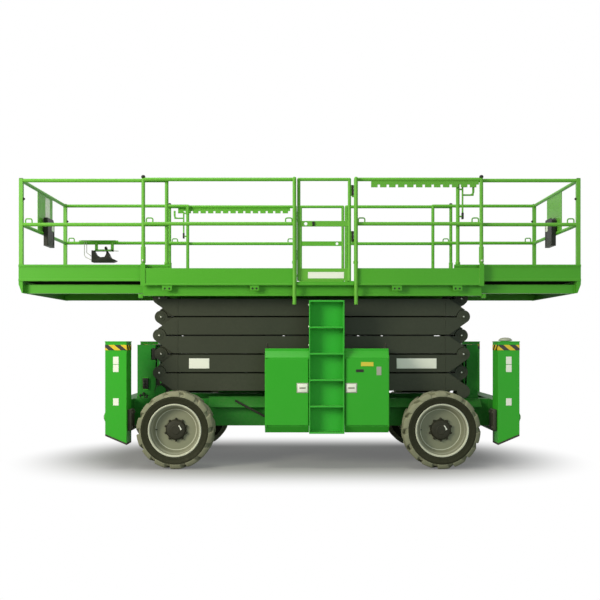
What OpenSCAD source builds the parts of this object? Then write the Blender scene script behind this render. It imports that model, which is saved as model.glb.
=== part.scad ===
// Self-propelled rough-terrain scissor lift with four jack legs, a five-level folded
// scissor stack and a platform with a sliding extension deck at each end.
// +X points to the rear of the machine, +Z is up, the origin is on the floor.

/* [Overall] */
// Length over both extended platform ends
overall_len = 6100; // [5900:10:6300]
// Width over the tyres
overall_width = 2280; // [2260:2:2340]
// Running clearance of pins, sliders and rollers
fit_gap = 0.35; // [0.3:0.05:0.5]

/* [Wheels] */
// Distance between the front and rear wheel centres
wheel_base = 2834; // [2824:2:2844]
// Middle of the wheelbase, along the machine
wheel_mid_x = 92; // [86:1:98]
// Outer diameter of a tyre
tyre_d = 824; // [816:2:832]
// Width of a tyre
tyre_w = 305; // [295:1:310]
// Number of grooves on each side of a tyre
tyre_grooves = 14; // [12:1:16]
// Depth of the tyre grooves
groove_depth = 30; // [20:1:34]
// Width of the tyre grooves
groove_w = 64; // [40:1:70]
// Slant of the tyre grooves
groove_slant = 26; // [15:1:30]
// Diameter of the rim seat
rim_d = 564; // [550:2:570]
// Diameter where the sidewall meets the tread shoulder
shoulder_d = 719; // [700:1:730]
// Depth of the wheel disc behind the tyre face
dish_depth = 130; // [110:1:140]
// Thickness of the wheel disc
disc_t = 16; // [12:1:20]
// Diameter of the hub
hub_d = 217; // [200:1:224]
// Diameter of the wheel spindle
spindle_d = 100; // [80:1:110]
// Distance of the kingpin inboard of the tyre centre
kingpin_inset = 100; // [90:1:110]
// Diameter of the kingpin
kingpin_d = 56; // [40:1:64]

/* [Chassis] */
// Underside of the main frame
frame_low_z = 410; // [405:1:420]
// Underside of the end cross-beams
cross_low_z = 371; // [365:1:385]
// Top of the main frame, where the lower rollers run
track_z = 715; // [700:1:720]
// Inner face of a main frame beam
beam_in_y = 430; // [420:1:436]
// Width of a main frame beam
beam_w = 120; // [112:1:124]
// Wall of the main frame beams
beam_wall = 14; // [8:1:20]
// Outer edge of the sloped flanges along the frame
flange_y = 646; // [640:1:650]
// Height of a flange at its outer edge
flange_low_z = 633; // [625:1:640]
// Height of the front flanges at the frame
flange_front_z = 740; // [730:1:745]
// Height of the rear flanges at the frame
flange_rear_z = 716; // [712:1:720]
// Length of the front flanges
flange_front_len = 647; // [600:1:700]
// Thickness of the flanges
flange_t = 12; // [8:1:14]
// Length of an end cross-beam along the machine
cross_w = 170; // [140:1:190]
// Height of an axle beam
axle_h = 110; // [90:1:120]
// Width of an axle beam
axle_w = 120; // [100:1:130]
// Height of the end towers above the floor
tower_top_z = 1319; // [1250:1:1350]
// Length of the front tower along the machine
tower_front_w = 208; // [180:1:212]
// Length of the rear tower along the machine
tower_rear_w = 128; // [100:1:150]
// Space between a tower and the lugs of the stack
tower_gap = 8; // [6:1:12]
// Thickness of the tower plates
tower_t = 20; // [12:1:30]
// Bore of a lashing eye
lash_d = 60; // [40:1:64]
// Thickness of a lashing eye
lash_t = 25; // [16:1:30]

/* [Jack legs] */
// Outer face of the front jack housings, ahead of the origin
jack_front_x = 2057; // [2050:1:2070]
// Outer face of the rear jack housings, behind the origin
jack_rear_x = 2324; // [2316:1:2336]
// Length of a jack housing along the machine
jack_len = 226; // [220:1:230]
// Width of a jack housing
jack_wid = 260; // [240:1:266]
// Wall of a jack housing
jack_wall = 12; // [8:1:16]
// Top of the jack housings
jack_top_z = 1350; // [1300:5:1400]
// Lower edge of a housing on its outer side
jack_outer_z = 376; // [360:1:400]
// Lower edge of a housing on its inner side
jack_inner_z = 280; // [270:1:300]
// Thickness of a jack shoe
shoe_t = 18; // [14:1:26]
// Diameter of the side boss of a housing
boss_d = 90; // [70:1:110]

/* [Scissor stack] */
// Number of levels
levels = 5; // [5:1:5]
// Middle of the stack along the machine
stack_mid_x = 130; // [128:1:132]
// Distance between the pins of the folded stack along the machine
pin_span = 3384; // [3380:2:3390]
// Rise of one folded level
level_pitch = 208; // [204:1:212]
// Height of the lowest pins
pin_base_z = 800; // [798:1:804]
// Space between the arms of neighbouring levels
level_gap = 16; // [12:1:20]
// Inner face of the inner arms
arm_in_y = 438; // [436:1:442]
// Width of an arm
arm_w = 110; // [100:1:112]
// Space between the inner and outer arms
arm_gap = 12; // [10:1:14]
// Radius of an arm lug
lug_r = 72; // [68:1:74]
// Slope of the arm ends
lug_slope = 35; // [33:0.5:38]
// Room round a lug in the arm beside it
lug_room = 6; // [5:0.5:8]
// Outer diameter of the tubes that join the arms
tube_d = 90; // [80:1:96]
// Diameter of the centre pins
centre_pin_d = 80; // [60:1:90]
// Diameter of the lower pivot pins
base_pin_d = 70; // [60:1:76]
// Width of a roller
roller_w = 50; // [40:1:56]

/* [Lift cylinders] */
// Share of the lowest rising arm below the cylinder foot
foot_share = 0.8; // [0.78:0.01:0.82]
// Sideways distance of each cylinder from the middle
cyl_y = 170; // [150:1:220]
// Outer diameter of a barrel
barrel_d = 150; // [130:1:156]
// Diameter of a rod
rod_d = 80; // [70:1:84]
// Length of a barrel from its foot pin
barrel_len = 1750; // [1700:10:1800]
// Drop of the rod axis below the tube that it pushes
cradle_drop = 95; // [92:1:98]

/* [Cabinets and ladders] */
// Front end of the front cabinets along the machine
cabinet_front_x = -373; // [-385:1:-372]
// Front end of the rear cabinets along the machine
cabinet_rear_x = 484; // [482:1:495]
// Length of a cabinet along the machine
cabinet_len = 472; // [460:1:474]
// Inner wall of a cabinet
cabinet_in_y = 692; // [688:1:700]
// Distance of a cabinet's outer wall inside the tyres' outer faces
cabinet_inset = 106; // [100:1:120]
// Underside of a cabinet
cabinet_low_z = 376; // [370:1:390]
// Top of a cabinet
cabinet_top_z = 1280; // [1260:2:1300]
// Height of the slope along the top edge
top_slope = 96; // [80:1:110]
// Height of the upright strip above the top slope
top_lip = 27; // [20:1:35]
// Height of the slope along the bottom edge
low_slope = 70; // [60:1:80]
// Wall of a cabinet
cabinet_wall = 8; // [5:1:12]
// Depth of the sloped edges of a cabinet
slope_depth = 60; // [40:1:70]
// Height of a battery block
battery_h = 512; // [450:1:520]
// Room between a battery block and the cabinet ends
battery_room = 70; // [50:1:80]
// Thickness of a cabinet door
door_t = 18; // [14:1:22]
// Width of a ladder
ladder_w = 375; // [370:1:378]
// Front edge of the ladders along the machine
ladder_x = 101; // [100:1:104]
// Lower edge of the ladders
ladder_low_z = 388; // [380:1:400]
// Top of the ladders
ladder_top_z = 1794; // [1780:1:1800]
// Number of steps
steps = 6; // [5:1:7]
// Depth of a step
step_depth = 150; // [130:1:160]
// Thickness of a step
step_t = 16; // [12:1:24]
// Thickness of the ladder plates
ladder_t = 10; // [8:1:12]

/* [Platform] */
// Front end of the main deck, ahead of the origin
deck_front_x = 1712; // [1700:1:1722]
// Rear end of the main deck, behind the origin
deck_rear_x = 1984; // [1974:1:1996]
// Top of the main deck
deck_z = 2000; // [1998:1:2004]
// Thickness of the main deck plate
deck_t = 15; // [12:1:18]
// Distance of the main guard rails from the middle
rail_y = 942; // [940:1:948]
// Outer diameter of the rail tubes
rail_d = 40; // [36:1:42]
// Height of the top rails' centre line
top_rail_z = 3106; // [3090:1:3120]
// Height of the mid rails as a share of the way from the deck to the top rails
mid_rail_share = 0.567; // [0.55:0.001:0.58]
// Top of the toe board
fascia_top_z = 2145; // [2135:1:2155]
// Lower edge of the toe board
fascia_low_z = 1960; // [1950:1:1966]
// Thickness of the toe board
fascia_t = 15; // [10:1:18]
// Reach of the lips on the toe boards and side beams
lip_reach = 8; // [6:1:10]
// Height of the lips
lip_h = 20; // [14:1:24]
// Width of the strips at the ends of the toe boards
strip_w = 50; // [40:1:60]
// Outer diameter of the sleeves on the end posts
sleeve_d = 52; // [48:1:52]
// Height of the sleeves' lower ends
sleeve_low_z = 2208; // [2200:1:2220]
// Height of the sleeves' upper ends
sleeve_top_z = 2379; // [2360:1:2390]
// Width of a platform side beam
side_beam_w = 60; // [50:1:62]
// Inner face of a platform side beam
side_beam_y = 840; // [838:1:846]
// Underside of a platform side beam
side_beam_z = 1850; // [1845:1:1860]
// Width of the upper roller track
upper_track_w = 80; // [74:1:84]

/* [Extensions] */
// Distance of the extension rails from the middle
ext_rail_y = 878; // [874:1:880]
// Thickness of an extension deck
ext_deck_t = 20; // [16:1:22]
// Height of the glide strips between the decks
glide_h = 10; // [8:1:12]
// Top of an extension's toe board
ext_toe_z = 2190; // [2180:1:2200]
// Thickness of an extension's toe board
ext_toe_t = 6; // [4:1:7]
// Reach of the lips along an extension's toe board
ext_lip = 7; // [5:1:7]
// Height of the lips along an extension's toe board
ext_lip_h = 24; // [18:1:28]
// Overlap of an extension deck on the main deck
ext_lap = 310; // [300:5:330]
// Length of an extension's lower beam inside the main deck
ext_beam_lap = 560; // [520:5:600]
// Inner face of an extension's lower beam
ext_beam_y = 765; // [760:1:770]
// Width of an extension's lower beam
ext_beam_w = 65; // [60:1:66]
// Underside of an extension's lower beam
ext_beam_z = 1881; // [1875:1:1890]
// Half the width of the plate in an extension's end panel
end_panel_half = 290; // [200:5:320]
// Distance of a lock lever from its post
lever_reach = 45; // [35:1:55]
// Depth of a document box
box_depth = 48; // [40:1:70]
// Half the width of a document box
box_half = 136; // [120:1:160]
// Height of a document box
box_h = 330; // [300:5:360]
// Chamfer of a document box's upper corner
box_cut = 35; // [20:1:45]
// Wall of the document boxes
box_wall = 6; // [3:1:8]
// Length of the platform control
control_len = 313; // [280:1:330]
// Distance of the platform control from the front end of the platform
control_x = 401; // [390:1:420]
// Height of the platform control's housing
control_h = 157; // [140:1:170]
// Depth of the platform control's housing
control_depth = 158; // [140:2:170]
// Reach of the platform control's hanger beyond its housing, towards the front
hanger_reach = 193; // [150:1:200]
// Height of the platform control's hanger
hanger_h = 59; // [50:1:64]
// Thickness of an extension's end plate
end_plate_t = 45; // [30:1:50]
// Height of the slope along an end plate's lower edge
end_slope_h = 94; // [80:1:110]
// Depth of the slope along an end plate's lower edge
end_slope = 35; // [25:1:40]
// Width of the square posts at an extension's end
end_post_w = 42; // [38:1:44]

/* [Gates] */
// Front gate post along the machine
gate_front_x = -57; // [-68:1:-48]
// Rear gate post along the machine
gate_rear_x = 605; // [594:1:618]
// Lower end of the grab posts
grab_low_z = 1753; // [1745:1:1765]
// Diameter of the gate tubes
gate_d = 36; // [32:1:38]
// Distance of the gate hinge from its post
gate_hinge_gap = 34; // [33:1:40]
// Number of teeth on the rear extension's lock rack
rear_teeth = 12; // [10:1:13]
// Number of teeth on the front extension's lock rack
front_teeth = 15; // [12:1:15]
// Pitch of the rack teeth
rack_pitch = 97; // [90:1:98]
// Depth of a lock rack below the top rail's centre line
rack_h = 85; // [75:1:95]
// Share of the rack pitch that a tooth takes
tooth_share = 0.72; // [0.6:0.02:0.8]

/* [Hidden] */
$fn = 48;
sides = ["near", "far"];

green = [0.22, 0.62, 0.2];
light_green = [0.42, 0.72, 0.25];
rail_green = [0.5, 0.68, 0.38];
dark = [0.2, 0.21, 0.18];
steel = [0.7, 0.7, 0.68];

wheel_z = tyre_d / 2;
rim_r = rim_d / 2;
hub_r = hub_d / 2;
spindle_r = spindle_d / 2;
side_y = overall_width / 2;
tyre_mid_y = side_y - tyre_w / 2;
kingpin_y = tyre_mid_y - kingpin_inset;
disc_y = side_y - dish_depth;
front_axle_x = wheel_mid_x - wheel_base / 2;
rear_axle_x = wheel_mid_x + wheel_base / 2;
hub_back_y = disc_y - disc_t - 44;
knuckle_h = 230;
yoke_t = 45;
yoke_gap = 5;
axle_top_z = frame_low_z - 10;
yoke_z = knuckle_h / 2 + yoke_gap;

beam_out_y = beam_in_y + beam_w;
jack_in_y = side_y - jack_wid;
front_cross_x = -jack_front_x + jack_len / 2;
rear_cross_x = jack_rear_x - jack_len / 2;
shoe_gap = 2;
lash_z = cross_low_z - 50;
lash_y = beam_out_y + 50;
lash_r = lash_d / 2 + 20;

pin_left_x = stack_mid_x - pin_span / 2;
pin_right_x = stack_mid_x + pin_span / 2;
top_pin_z = pin_base_z + levels * level_pitch;
arm_out_y = arm_in_y + arm_w + arm_gap;
stack_out_y = arm_out_y + arm_w;
tube_r = tube_d / 2;
roller_r = pin_base_z - track_z - fit_gap;
upper_track_z = top_pin_z + roller_r + fit_gap;
lower_roller_y = arm_in_y + arm_w - roller_w - 8;
upper_roller_y = arm_in_y - roller_w - 16;
upper_track_y = upper_roller_y + roller_w / 2 - upper_track_w / 2;
pin_proud = 4;
bracket_r = 60;
bracket_t = 30;
bracket_in_y = arm_in_y - pin_proud - bracket_t;

tower_depth = 100;
tower_seat = 30;
notch_len = 53;
notch_z = [tower_top_z - 174, tower_top_z - 49];
front_tower_x = pin_left_x - lug_r - tower_gap - tower_front_w;
window_x = [front_tower_x + 52, front_tower_x + 121];
window_z = [track_z + 88, track_z + 236];
rear_tower_x = pin_right_x + lug_r + tower_gap;

foot = [pin_left_x + foot_share * pin_span, pin_base_z + foot_share * level_pitch];
push = [pin_left_x, pin_base_z + 2 * level_pitch];
cyl_len = norm(push - foot);
cyl_angle = atan2(push[1] - foot[1], push[0] - foot[0]);
cradle_half = 60;
cradle_arc = 35;
foot_eye_r = tube_r + 30;

cabinet_x = [cabinet_front_x, cabinet_rear_x];
cabinet_out_y = side_y - cabinet_inset;
door_low_z = cabinet_low_z + low_slope + 14;
door_top_z = cabinet_top_z - top_slope - 14;
door_edge_r = door_t / 2;
hinge_pin_r = 5;
hinge_pin_h = 24;
hinge_gap = 2;

rail_r = rail_d / 2;
rack_t = 10;
rear_rack_gap = 27;
front_rack_gap = 110;
mid_rail_z = deck_z + mid_rail_share * (top_rail_z - deck_z);
rail_gap = top_rail_z - mid_rail_z;
fascia_in_y = rail_y + rail_r + 0.5;
fascia_out_y = fascia_in_y + fascia_t;
grab_y = fascia_out_y + rail_r + fit_gap;
deck_low_z = deck_z - deck_t;
ext_low_z = deck_z + glide_h;
ext_half_y = ext_rail_y + rail_r + ext_toe_t;
front_out = overall_len / 2 - deck_front_x;
rear_out = overall_len / 2 - deck_rear_x;
ext_post_in = ext_lap - 45;
ext_beam_top_z = deck_low_z - 8;
main_post_front_x = -deck_front_x + rail_r + 2;
main_post_rear_x = deck_rear_x - rail_r - 2;
control_plate_t = 12;
lever_t = 14;
grip_r = 9;
grip_reach = 120;
gate_r = gate_d / 2;
gate_barrel_r = 10;
gate_barrel_h = 118;
gate_pin_r = 6;
gate_bracket_half = 8;
gate_low_z = deck_z + glide_h;
gate_pin_z = [mid_rail_z - 197, top_rail_z - 179];

// A box between two corners
module block(x, y, z) {
    translate([x[0], y[0], z[0]])
        cube([x[1] - x[0], y[1] - y[0], z[1] - z[0]]);
}

// A bar along X, Y or Z
module bar_x(y, z, r, x) {
    translate([x[0], y, z]) rotate([0, 90, 0]) cylinder(r = r, h = x[1] - x[0]);
}

module bar_y(x, z, r, y) {
    translate([x, y[0], z]) rotate([-90, 0, 0]) cylinder(r = r, h = y[1] - y[0]);
}

module bar_z(x, y, r, z) {
    translate([x, y, z[0]]) cylinder(r = r, h = z[1] - z[0]);
}

// A plate with an outline in X and Z
module plate_xz(points, y) {
    translate([0, y[1], 0]) rotate([90, 0, 0]) linear_extrude(y[1] - y[0]) polygon(points);
}

// A plate with an outline in Y and Z
module plate_yz(points, x) {
    translate([x[0], 0, 0]) rotate([90, 0, 90]) linear_extrude(x[1] - x[0]) polygon(points);
}

module near_side() {
    mirror([0, 1, 0]) children();
}

module both_sides() {
    children();
    near_side() children();
}

module on_side(side) {
    if (side == "near") near_side() children();
    else children();
}

// Turns a piece of the front end round to the rear end of the stack
module flip_stack() {
    translate([2 * stack_mid_x, 0, 0]) mirror([1, 0, 0]) children();
}

// Pieces of an end of the platform, drawn outward from the end of the main deck
module at_end(end) {
    if (end == "front") translate([-deck_front_x, 0, 0]) mirror([1, 0, 0]) children();
    else translate([deck_rear_x, 0, 0]) children();
}

// Hollow frame beam along the machine
module frame_beam() {
    difference() {
        block([front_cross_x, rear_cross_x], [beam_in_y, beam_out_y], [frame_low_z, track_z]);
        block([front_cross_x + cross_w, rear_cross_x - cross_w],
            [beam_in_y + beam_wall, beam_out_y - beam_wall], [frame_low_z + beam_wall, track_z - beam_wall]);
    }
}

module cross_beam(x) {
    block([x - cross_w / 2, x + cross_w / 2], [-jack_in_y, jack_in_y], [cross_low_z, track_z]);
}

// Clevis that carries the lower pivot of the stack
module pivot_bracket() {
    for (y = [[bracket_in_y, bracket_in_y + bracket_t], [beam_out_y, beam_out_y + bracket_t]]) {
        bar_y(pin_left_x, pin_base_z, bracket_r, y);
        block([pin_left_x - bracket_r, pin_left_x + bracket_r], y, [track_z - 60, pin_base_z]);
    }
    bar_y(pin_left_x, pin_base_z, base_pin_d / 2, [bracket_in_y, beam_out_y + bracket_t]);
}

module lashing_eye(x) {
    difference() {
        union() {
            bar_x(lash_y, lash_z, lash_r, [x, x + lash_t]);
            block([x, x + lash_t], [lash_y - lash_r, lash_y + lash_r], [lash_z, cross_low_z]);
        }
        bar_x(lash_y, lash_z, lash_d / 2, [x - 1, x + lash_t + 1]);
    }
}

// Bent flange that stands on a frame beam and slopes down outside it
module frame_flange(x, top_z) {
    in_y = beam_out_y - beam_wall / 2;
    plate_yz([[in_y, track_z - beam_wall], [beam_out_y, track_z - beam_wall], [beam_out_y, top_z - flange_t],
        [flange_y, flange_low_z - flange_t], [flange_y, flange_low_z], [in_y, top_z]], x);
}

module chassis_frame() {
    color(green) {
        both_sides() {
            frame_beam();
            pivot_bracket();
            frame_flange([cabinet_front_x - flange_front_len, cabinet_front_x], flange_front_z);
            frame_flange([cabinet_rear_x + cabinet_len, rear_tower_x + tower_rear_w], flange_rear_z);
            for (x = [front_cross_x, rear_cross_x]) lashing_eye(x);
            for (c = cabinet_x) for (x = [c + 60, c + cabinet_len - 60])
                block([x - 20, x + 20], [beam_out_y, cabinet_in_y], [frame_low_z + 40, track_z - 20]);
        }
        for (x = [front_cross_x, rear_cross_x]) cross_beam(x);
        for (x = [front_axle_x, stack_mid_x, rear_axle_x])
            block([x - 60, x + 60], [-beam_in_y, beam_in_y], [frame_low_z, frame_low_z + 180]);
    }
}

// Tower that stands on the frame at one end of the stack
module end_tower(x, w) {
    in_y = beam_in_y - tower_depth;
    both_sides()
        difference() {
            block([x, x + w], [in_y, beam_in_y], [track_z, tower_top_z]);
            block([x + tower_t, x + w - tower_t], [in_y - 1, beam_in_y - tower_t],
                [track_z + tower_t, tower_top_z - tower_t]);
        }
    block([x, x + w], [-in_y, in_y], [tower_top_z - tower_t, tower_top_z]);
    block([x, x + w], [-beam_in_y - tower_seat, beam_in_y + tower_seat], [track_z, track_z + tower_t]);
}

module end_towers() {
    plate_y = [beam_in_y - tower_t - 1, beam_in_y + 1];
    color(green) {
        difference() {
            end_tower(front_tower_x, tower_front_w);
            both_sides() {
                block([front_tower_x + tower_front_w - notch_len, front_tower_x + tower_front_w + 1],
                    plate_y, notch_z);
                block(window_x, plate_y, window_z);
            }
        }
        end_tower(rear_tower_x, tower_rear_w);
    }
}

// Axle beam under the frame, with its seats on the frame beams
module axle_beam(x) {
    block([x - axle_w / 2, x + axle_w / 2], [-kingpin_y + 90, kingpin_y - 90],
        [axle_top_z - axle_h, axle_top_z]);
    both_sides()
        block([x - axle_w / 2, x + axle_w / 2], [beam_in_y, beam_out_y], [axle_top_z, frame_low_z]);
}

module axle_front() {
    color(dark) {
        axle_beam(front_axle_x);
        both_sides() {
            difference() {
                union() {
                    block([front_axle_x - 55, front_axle_x + 55], [kingpin_y - 145, kingpin_y - 88],
                        [wheel_z - yoke_z - yoke_t, wheel_z + yoke_z + yoke_t]);
                    for (z = [wheel_z - yoke_z - yoke_t, wheel_z + yoke_z]) {
                        bar_z(front_axle_x, kingpin_y, 45, [z, z + yoke_t]);
                        block([front_axle_x - 45, front_axle_x + 45], [kingpin_y - 100, kingpin_y],
                            [z, z + yoke_t]);
                    }
                }
                bar_z(front_axle_x, kingpin_y, kingpin_d / 2 + fit_gap,
                    [wheel_z - yoke_z - yoke_t - 1, wheel_z + yoke_z + yoke_t + 1]);
            }
        }
    }
}

// Spindle and carrier that a wheel turns on, outboard of a face
module spindle(x, y) {
    bar_y(x, wheel_z, hub_r, [y, hub_back_y - yoke_gap]);
    bar_y(x, wheel_z, spindle_r, [y, disc_y + 20]);
}

module axle_rear() {
    color(dark) {
        axle_beam(rear_axle_x);
        both_sides() {
            block([rear_axle_x - 70, rear_axle_x + 70], [kingpin_y - 145, kingpin_y - 88],
                [axle_top_z - axle_h, wheel_z + hub_r]);
            spindle(rear_axle_x, kingpin_y - 88);
        }
    }
}

module knuckle(side) {
    color(dark) on_side(side) {
        block([front_axle_x - 55, front_axle_x + 55], [kingpin_y - 40, kingpin_y + 40],
            [wheel_z - knuckle_h / 2, wheel_z + knuckle_h / 2]);
        bar_z(front_axle_x, kingpin_y, kingpin_d / 2,
            [wheel_z - yoke_z - yoke_t, wheel_z + yoke_z + yoke_t]);
        spindle(front_axle_x, kingpin_y);
    }
}

// Places a piece turned about the wheel axis, with its outer face outboard
module at_wheel(end, side) {
    x = end == "front" ? front_axle_x : rear_axle_x;
    on_side(side) translate([x, 0, wheel_z]) rotate([-90, 0, 0]) children();
}

module tyre(end, side) {
    w = tyre_w / 2;
    r = tyre_d / 2;
    s = shoulder_d / 2;
    pitch = 360 / tyre_grooves;
    color(dark) at_wheel(end, side) translate([0, 0, tyre_mid_y]) difference() {
        rotate_extrude($fn = 96)
            polygon([[rim_r + fit_gap, -w + 22], [s, -w], [r, -w + 30],
                [r, w - 30], [s, w], [rim_r + fit_gap, w - 22]]);
        for (i = [0 : tyre_grooves - 1]) for (d = [-1, 1])
            rotate([0, 0, (i + d / 4) * pitch]) translate([r - groove_depth, 0, d * w])
                rotate([d * groove_slant, 0, 0])
                    block([0, tyre_w], [-groove_w / 2, groove_w / 2], [-w + 10, w - 10]);
    }
}

module rim(end, side) {
    lip = side_y - 14;
    back = side_y - tyre_w + 24;
    color(steel) at_wheel(end, side) difference() {
        rotate_extrude($fn = 96)
            polygon([[0, hub_back_y], [hub_r, hub_back_y], [hub_r, disc_y - disc_t],
                [rim_r - 56, disc_y - disc_t], [rim_r - 40, disc_y - disc_t - 30], [rim_r - 40, back],
                [rim_r, back], [rim_r, lip], [rim_r - 14, lip], [rim_r - 22, lip - 40],
                [rim_r - 40, lip - 60], [rim_r - 62, disc_y], [hub_r, disc_y], [hub_r - 8, disc_y + 36],
                [0, disc_y + 36]]);
        cylinder(r = spindle_r + fit_gap, h = disc_y + 20 + fit_gap);
    }
}

// Jack housing and leg, drawn for the far side with the outer face at x and the machine towards dir
function jack_floor_z(inward) = jack_outer_z + (jack_inner_z - jack_outer_z) * inward / jack_len;
function jack_floor(x, dir, ends, drop) = [for (i = ends) [x + dir * i, jack_floor_z(i) - drop]];

module jack_housing(x, dir) {
    xs = [min(x, x + dir * jack_len), max(x, x + dir * jack_len)];
    y = [jack_in_y, side_y];
    difference() {
        plate_xz(concat(jack_floor(x, dir, [0, jack_len], 0),
            [[x + dir * jack_len, jack_top_z], [x, jack_top_z]]), y);
        block([xs[0] + jack_wall, xs[1] - jack_wall], [y[0] + jack_wall, y[1] - jack_wall],
            [0, jack_top_z - jack_wall]);
    }
    bar_x((y[0] + y[1]) / 2, jack_outer_z + 170, boss_d / 2, dir > 0 ? [x - 30, x] : [x, x + 30]);
}

module jack_leg(end, side) {
    x = end == "front" ? -jack_front_x : jack_rear_x;
    dir = end == "front" ? 1 : -1;
    wall = jack_wall + fit_gap;
    leg = [wall, jack_len - wall];
    leg_top_z = jack_top_z - jack_wall - 60;
    color(dark) on_side(side) {
        plate_xz(concat(jack_floor(x, dir, leg, shoe_gap + 1),
            [[x + dir * leg[1], leg_top_z], [x + dir * leg[0], leg_top_z]]),
            [jack_in_y + wall, side_y - wall]);
        plate_xz(concat(jack_floor(x, dir, [0, jack_len], shoe_gap),
            jack_floor(x, dir, [jack_len, 0], shoe_gap + shoe_t)),
            [jack_in_y, side_y]);
    }
}

module jack_housings_front() {
    color(green) both_sides() jack_housing(-jack_front_x, 1);
}

module jack_housings_rear() {
    color(green) both_sides() jack_housing(jack_rear_x, -1);
}

// Scissor arms. A rising arm has its low pin at the front and its high pin at the rear.
// It lies level when folded, so its pins sit at opposite corners of its bar.
function low_z(k) = pin_base_z + (k - 1) * level_pitch;
function is_inner(k, rising) = (k % 2 == 1) == rising;
function arm_y(k, rising) = is_inner(k, rising) ? arm_in_y : arm_out_y;

function arm_outline(k) =
    let (
        low = [pin_left_x, low_z(k)],
        high = [pin_right_x, low_z(k + 1)],
        bottom = low_z(k) + level_gap / 2,
        top = low_z(k + 1) - level_gap / 2,
        offset_to_flank = lug_r * [-sin(lug_slope), cos(lug_slope)],
        low_flank = low + offset_to_flank,
        high_flank = high - offset_to_flank,
        flank_run = (top - low_flank[1]) / tan(lug_slope)
    )
    [low, low_flank, [low_flank[0] + flank_run, top], [pin_right_x, top],
        high, high_flank, [high_flank[0] - flank_run, bottom], [pin_left_x, bottom]];

// Bar of one arm with half-width lugs where it laps the arms of the next levels
module arm_bar(k, rising) {
    y = [arm_y(k, rising), arm_y(k, rising) + arm_w];
    lap_y = (y[0] + y[1]) / 2;
    low_bore_r = (k == 1 ? base_pin_d / 2 : tube_r) + fit_gap;
    difference() {
        union() {
            plate_xz(arm_outline(k), y);
            bar_y(pin_left_x, low_z(k), lug_r, y);
            bar_y(pin_right_x, low_z(k + 1), lug_r, y);
        }
        if (k > 1) bar_y(pin_left_x, low_z(k), lug_r + lug_room, [lap_y - fit_gap, y[1] + 1]);
        if (k < levels || !rising)
            bar_y(pin_right_x, low_z(k + 1), lug_r + lug_room, [y[0] - 1, lap_y + fit_gap]);
        if (k > 1 || rising) bar_y(pin_left_x, low_z(k), low_bore_r, [y[0] - 1, y[1] + 1]);
        if (!is_inner(k, rising))
            bar_y(stack_mid_x, low_z(k + 0.5), centre_pin_d / 2 + fit_gap, [y[0] - 1, y[1] + 1]);
    }
}

// Pair of arms with the tube at their high ends and what their ends carry
module arm_pair(k, rising) {
    out_y = arm_y(k, rising) + arm_w + pin_proud;
    both_sides() {
        arm_bar(k, rising);
        if (is_inner(k, rising))
            bar_y(stack_mid_x, low_z(k + 0.5), centre_pin_d / 2,
                [arm_in_y + arm_w / 2, stack_out_y + pin_proud]);
        if (k == 1 && !rising) {
            bar_y(pin_left_x, low_z(1), tube_r, [lower_roller_y, arm_out_y + arm_w / 2]);
            bar_y(pin_left_x, low_z(1), roller_r, [lower_roller_y, lower_roller_y + roller_w]);
        }
        if (k == levels && rising)
            bar_y(pin_right_x, top_pin_z, roller_r, [upper_roller_y, upper_roller_y + roller_w]);
    }
    bar_y(pin_right_x, low_z(k + 1), tube_r, [-out_y, out_y]);
    if (k == 1 && rising) bar_y(foot[0], foot[1], tube_r, [-arm_in_y - 20, arm_in_y + 20]);
}

module arms(k, rising) {
    color(dark)
        if (rising) arm_pair(k, true);
        else flip_stack() arm_pair(k, false);
}

// Lift cylinders, drawn along X from the foot pin and turned to the tube that they push
module at_cylinders() {
    for (y = [-cyl_y, cyl_y])
        translate([foot[0], y, foot[1]]) rotate([0, -cyl_angle, 0]) children();
}

module lift_barrels() {
    r = barrel_d / 2;
    color(dark) at_cylinders() difference() {
        union() {
            bar_x(0, cradle_drop, r, [0, barrel_len]);
            bar_y(0, 0, foot_eye_r, [-r, r]);
            block([-foot_eye_r, foot_eye_r], [-r, r], [0, cradle_drop]);
        }
        bar_x(0, cradle_drop, rod_d / 2 + fit_gap, [foot_eye_r + 20, barrel_len + 1]);
        bar_y(0, 0, tube_r + fit_gap, [-r - 1, r + 1]);
    }
}

module lift_rods() {
    r = rod_d / 2;
    color(steel) at_cylinders() difference() {
        union() {
            bar_x(0, cradle_drop, r, [foot_eye_r + 60, cyl_len + cradle_half]);
            block([cyl_len - cradle_half, cyl_len + cradle_half], [-r, r],
                [(tube_r + fit_gap) * cos(cradle_arc), cradle_drop]);
        }
        bar_y(cyl_len, 0, tube_r + fit_gap, [-r - 1, r + 1]);
    }
}

// Cabinets with sloped edges and an open face behind each door
function cabinet_outline(in) = [
    [cabinet_in_y + in, cabinet_low_z + in],
    [cabinet_out_y - slope_depth, cabinet_low_z + in],
    [cabinet_out_y - in, cabinet_low_z + low_slope],
    [cabinet_out_y - in, cabinet_top_z - top_slope],
    [cabinet_out_y - slope_depth - in, cabinet_top_z - top_lip - in / 2],
    [cabinet_out_y - slope_depth - in, cabinet_top_z - in],
    [cabinet_in_y + in, cabinet_top_z - in]];

function door_hinge_x(end) = end == "front" ? cabinet_x[0] + door_edge_r
    : cabinet_x[1] + cabinet_len - door_edge_r;
door_y = cabinet_out_y + fit_gap + door_edge_r;

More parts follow.
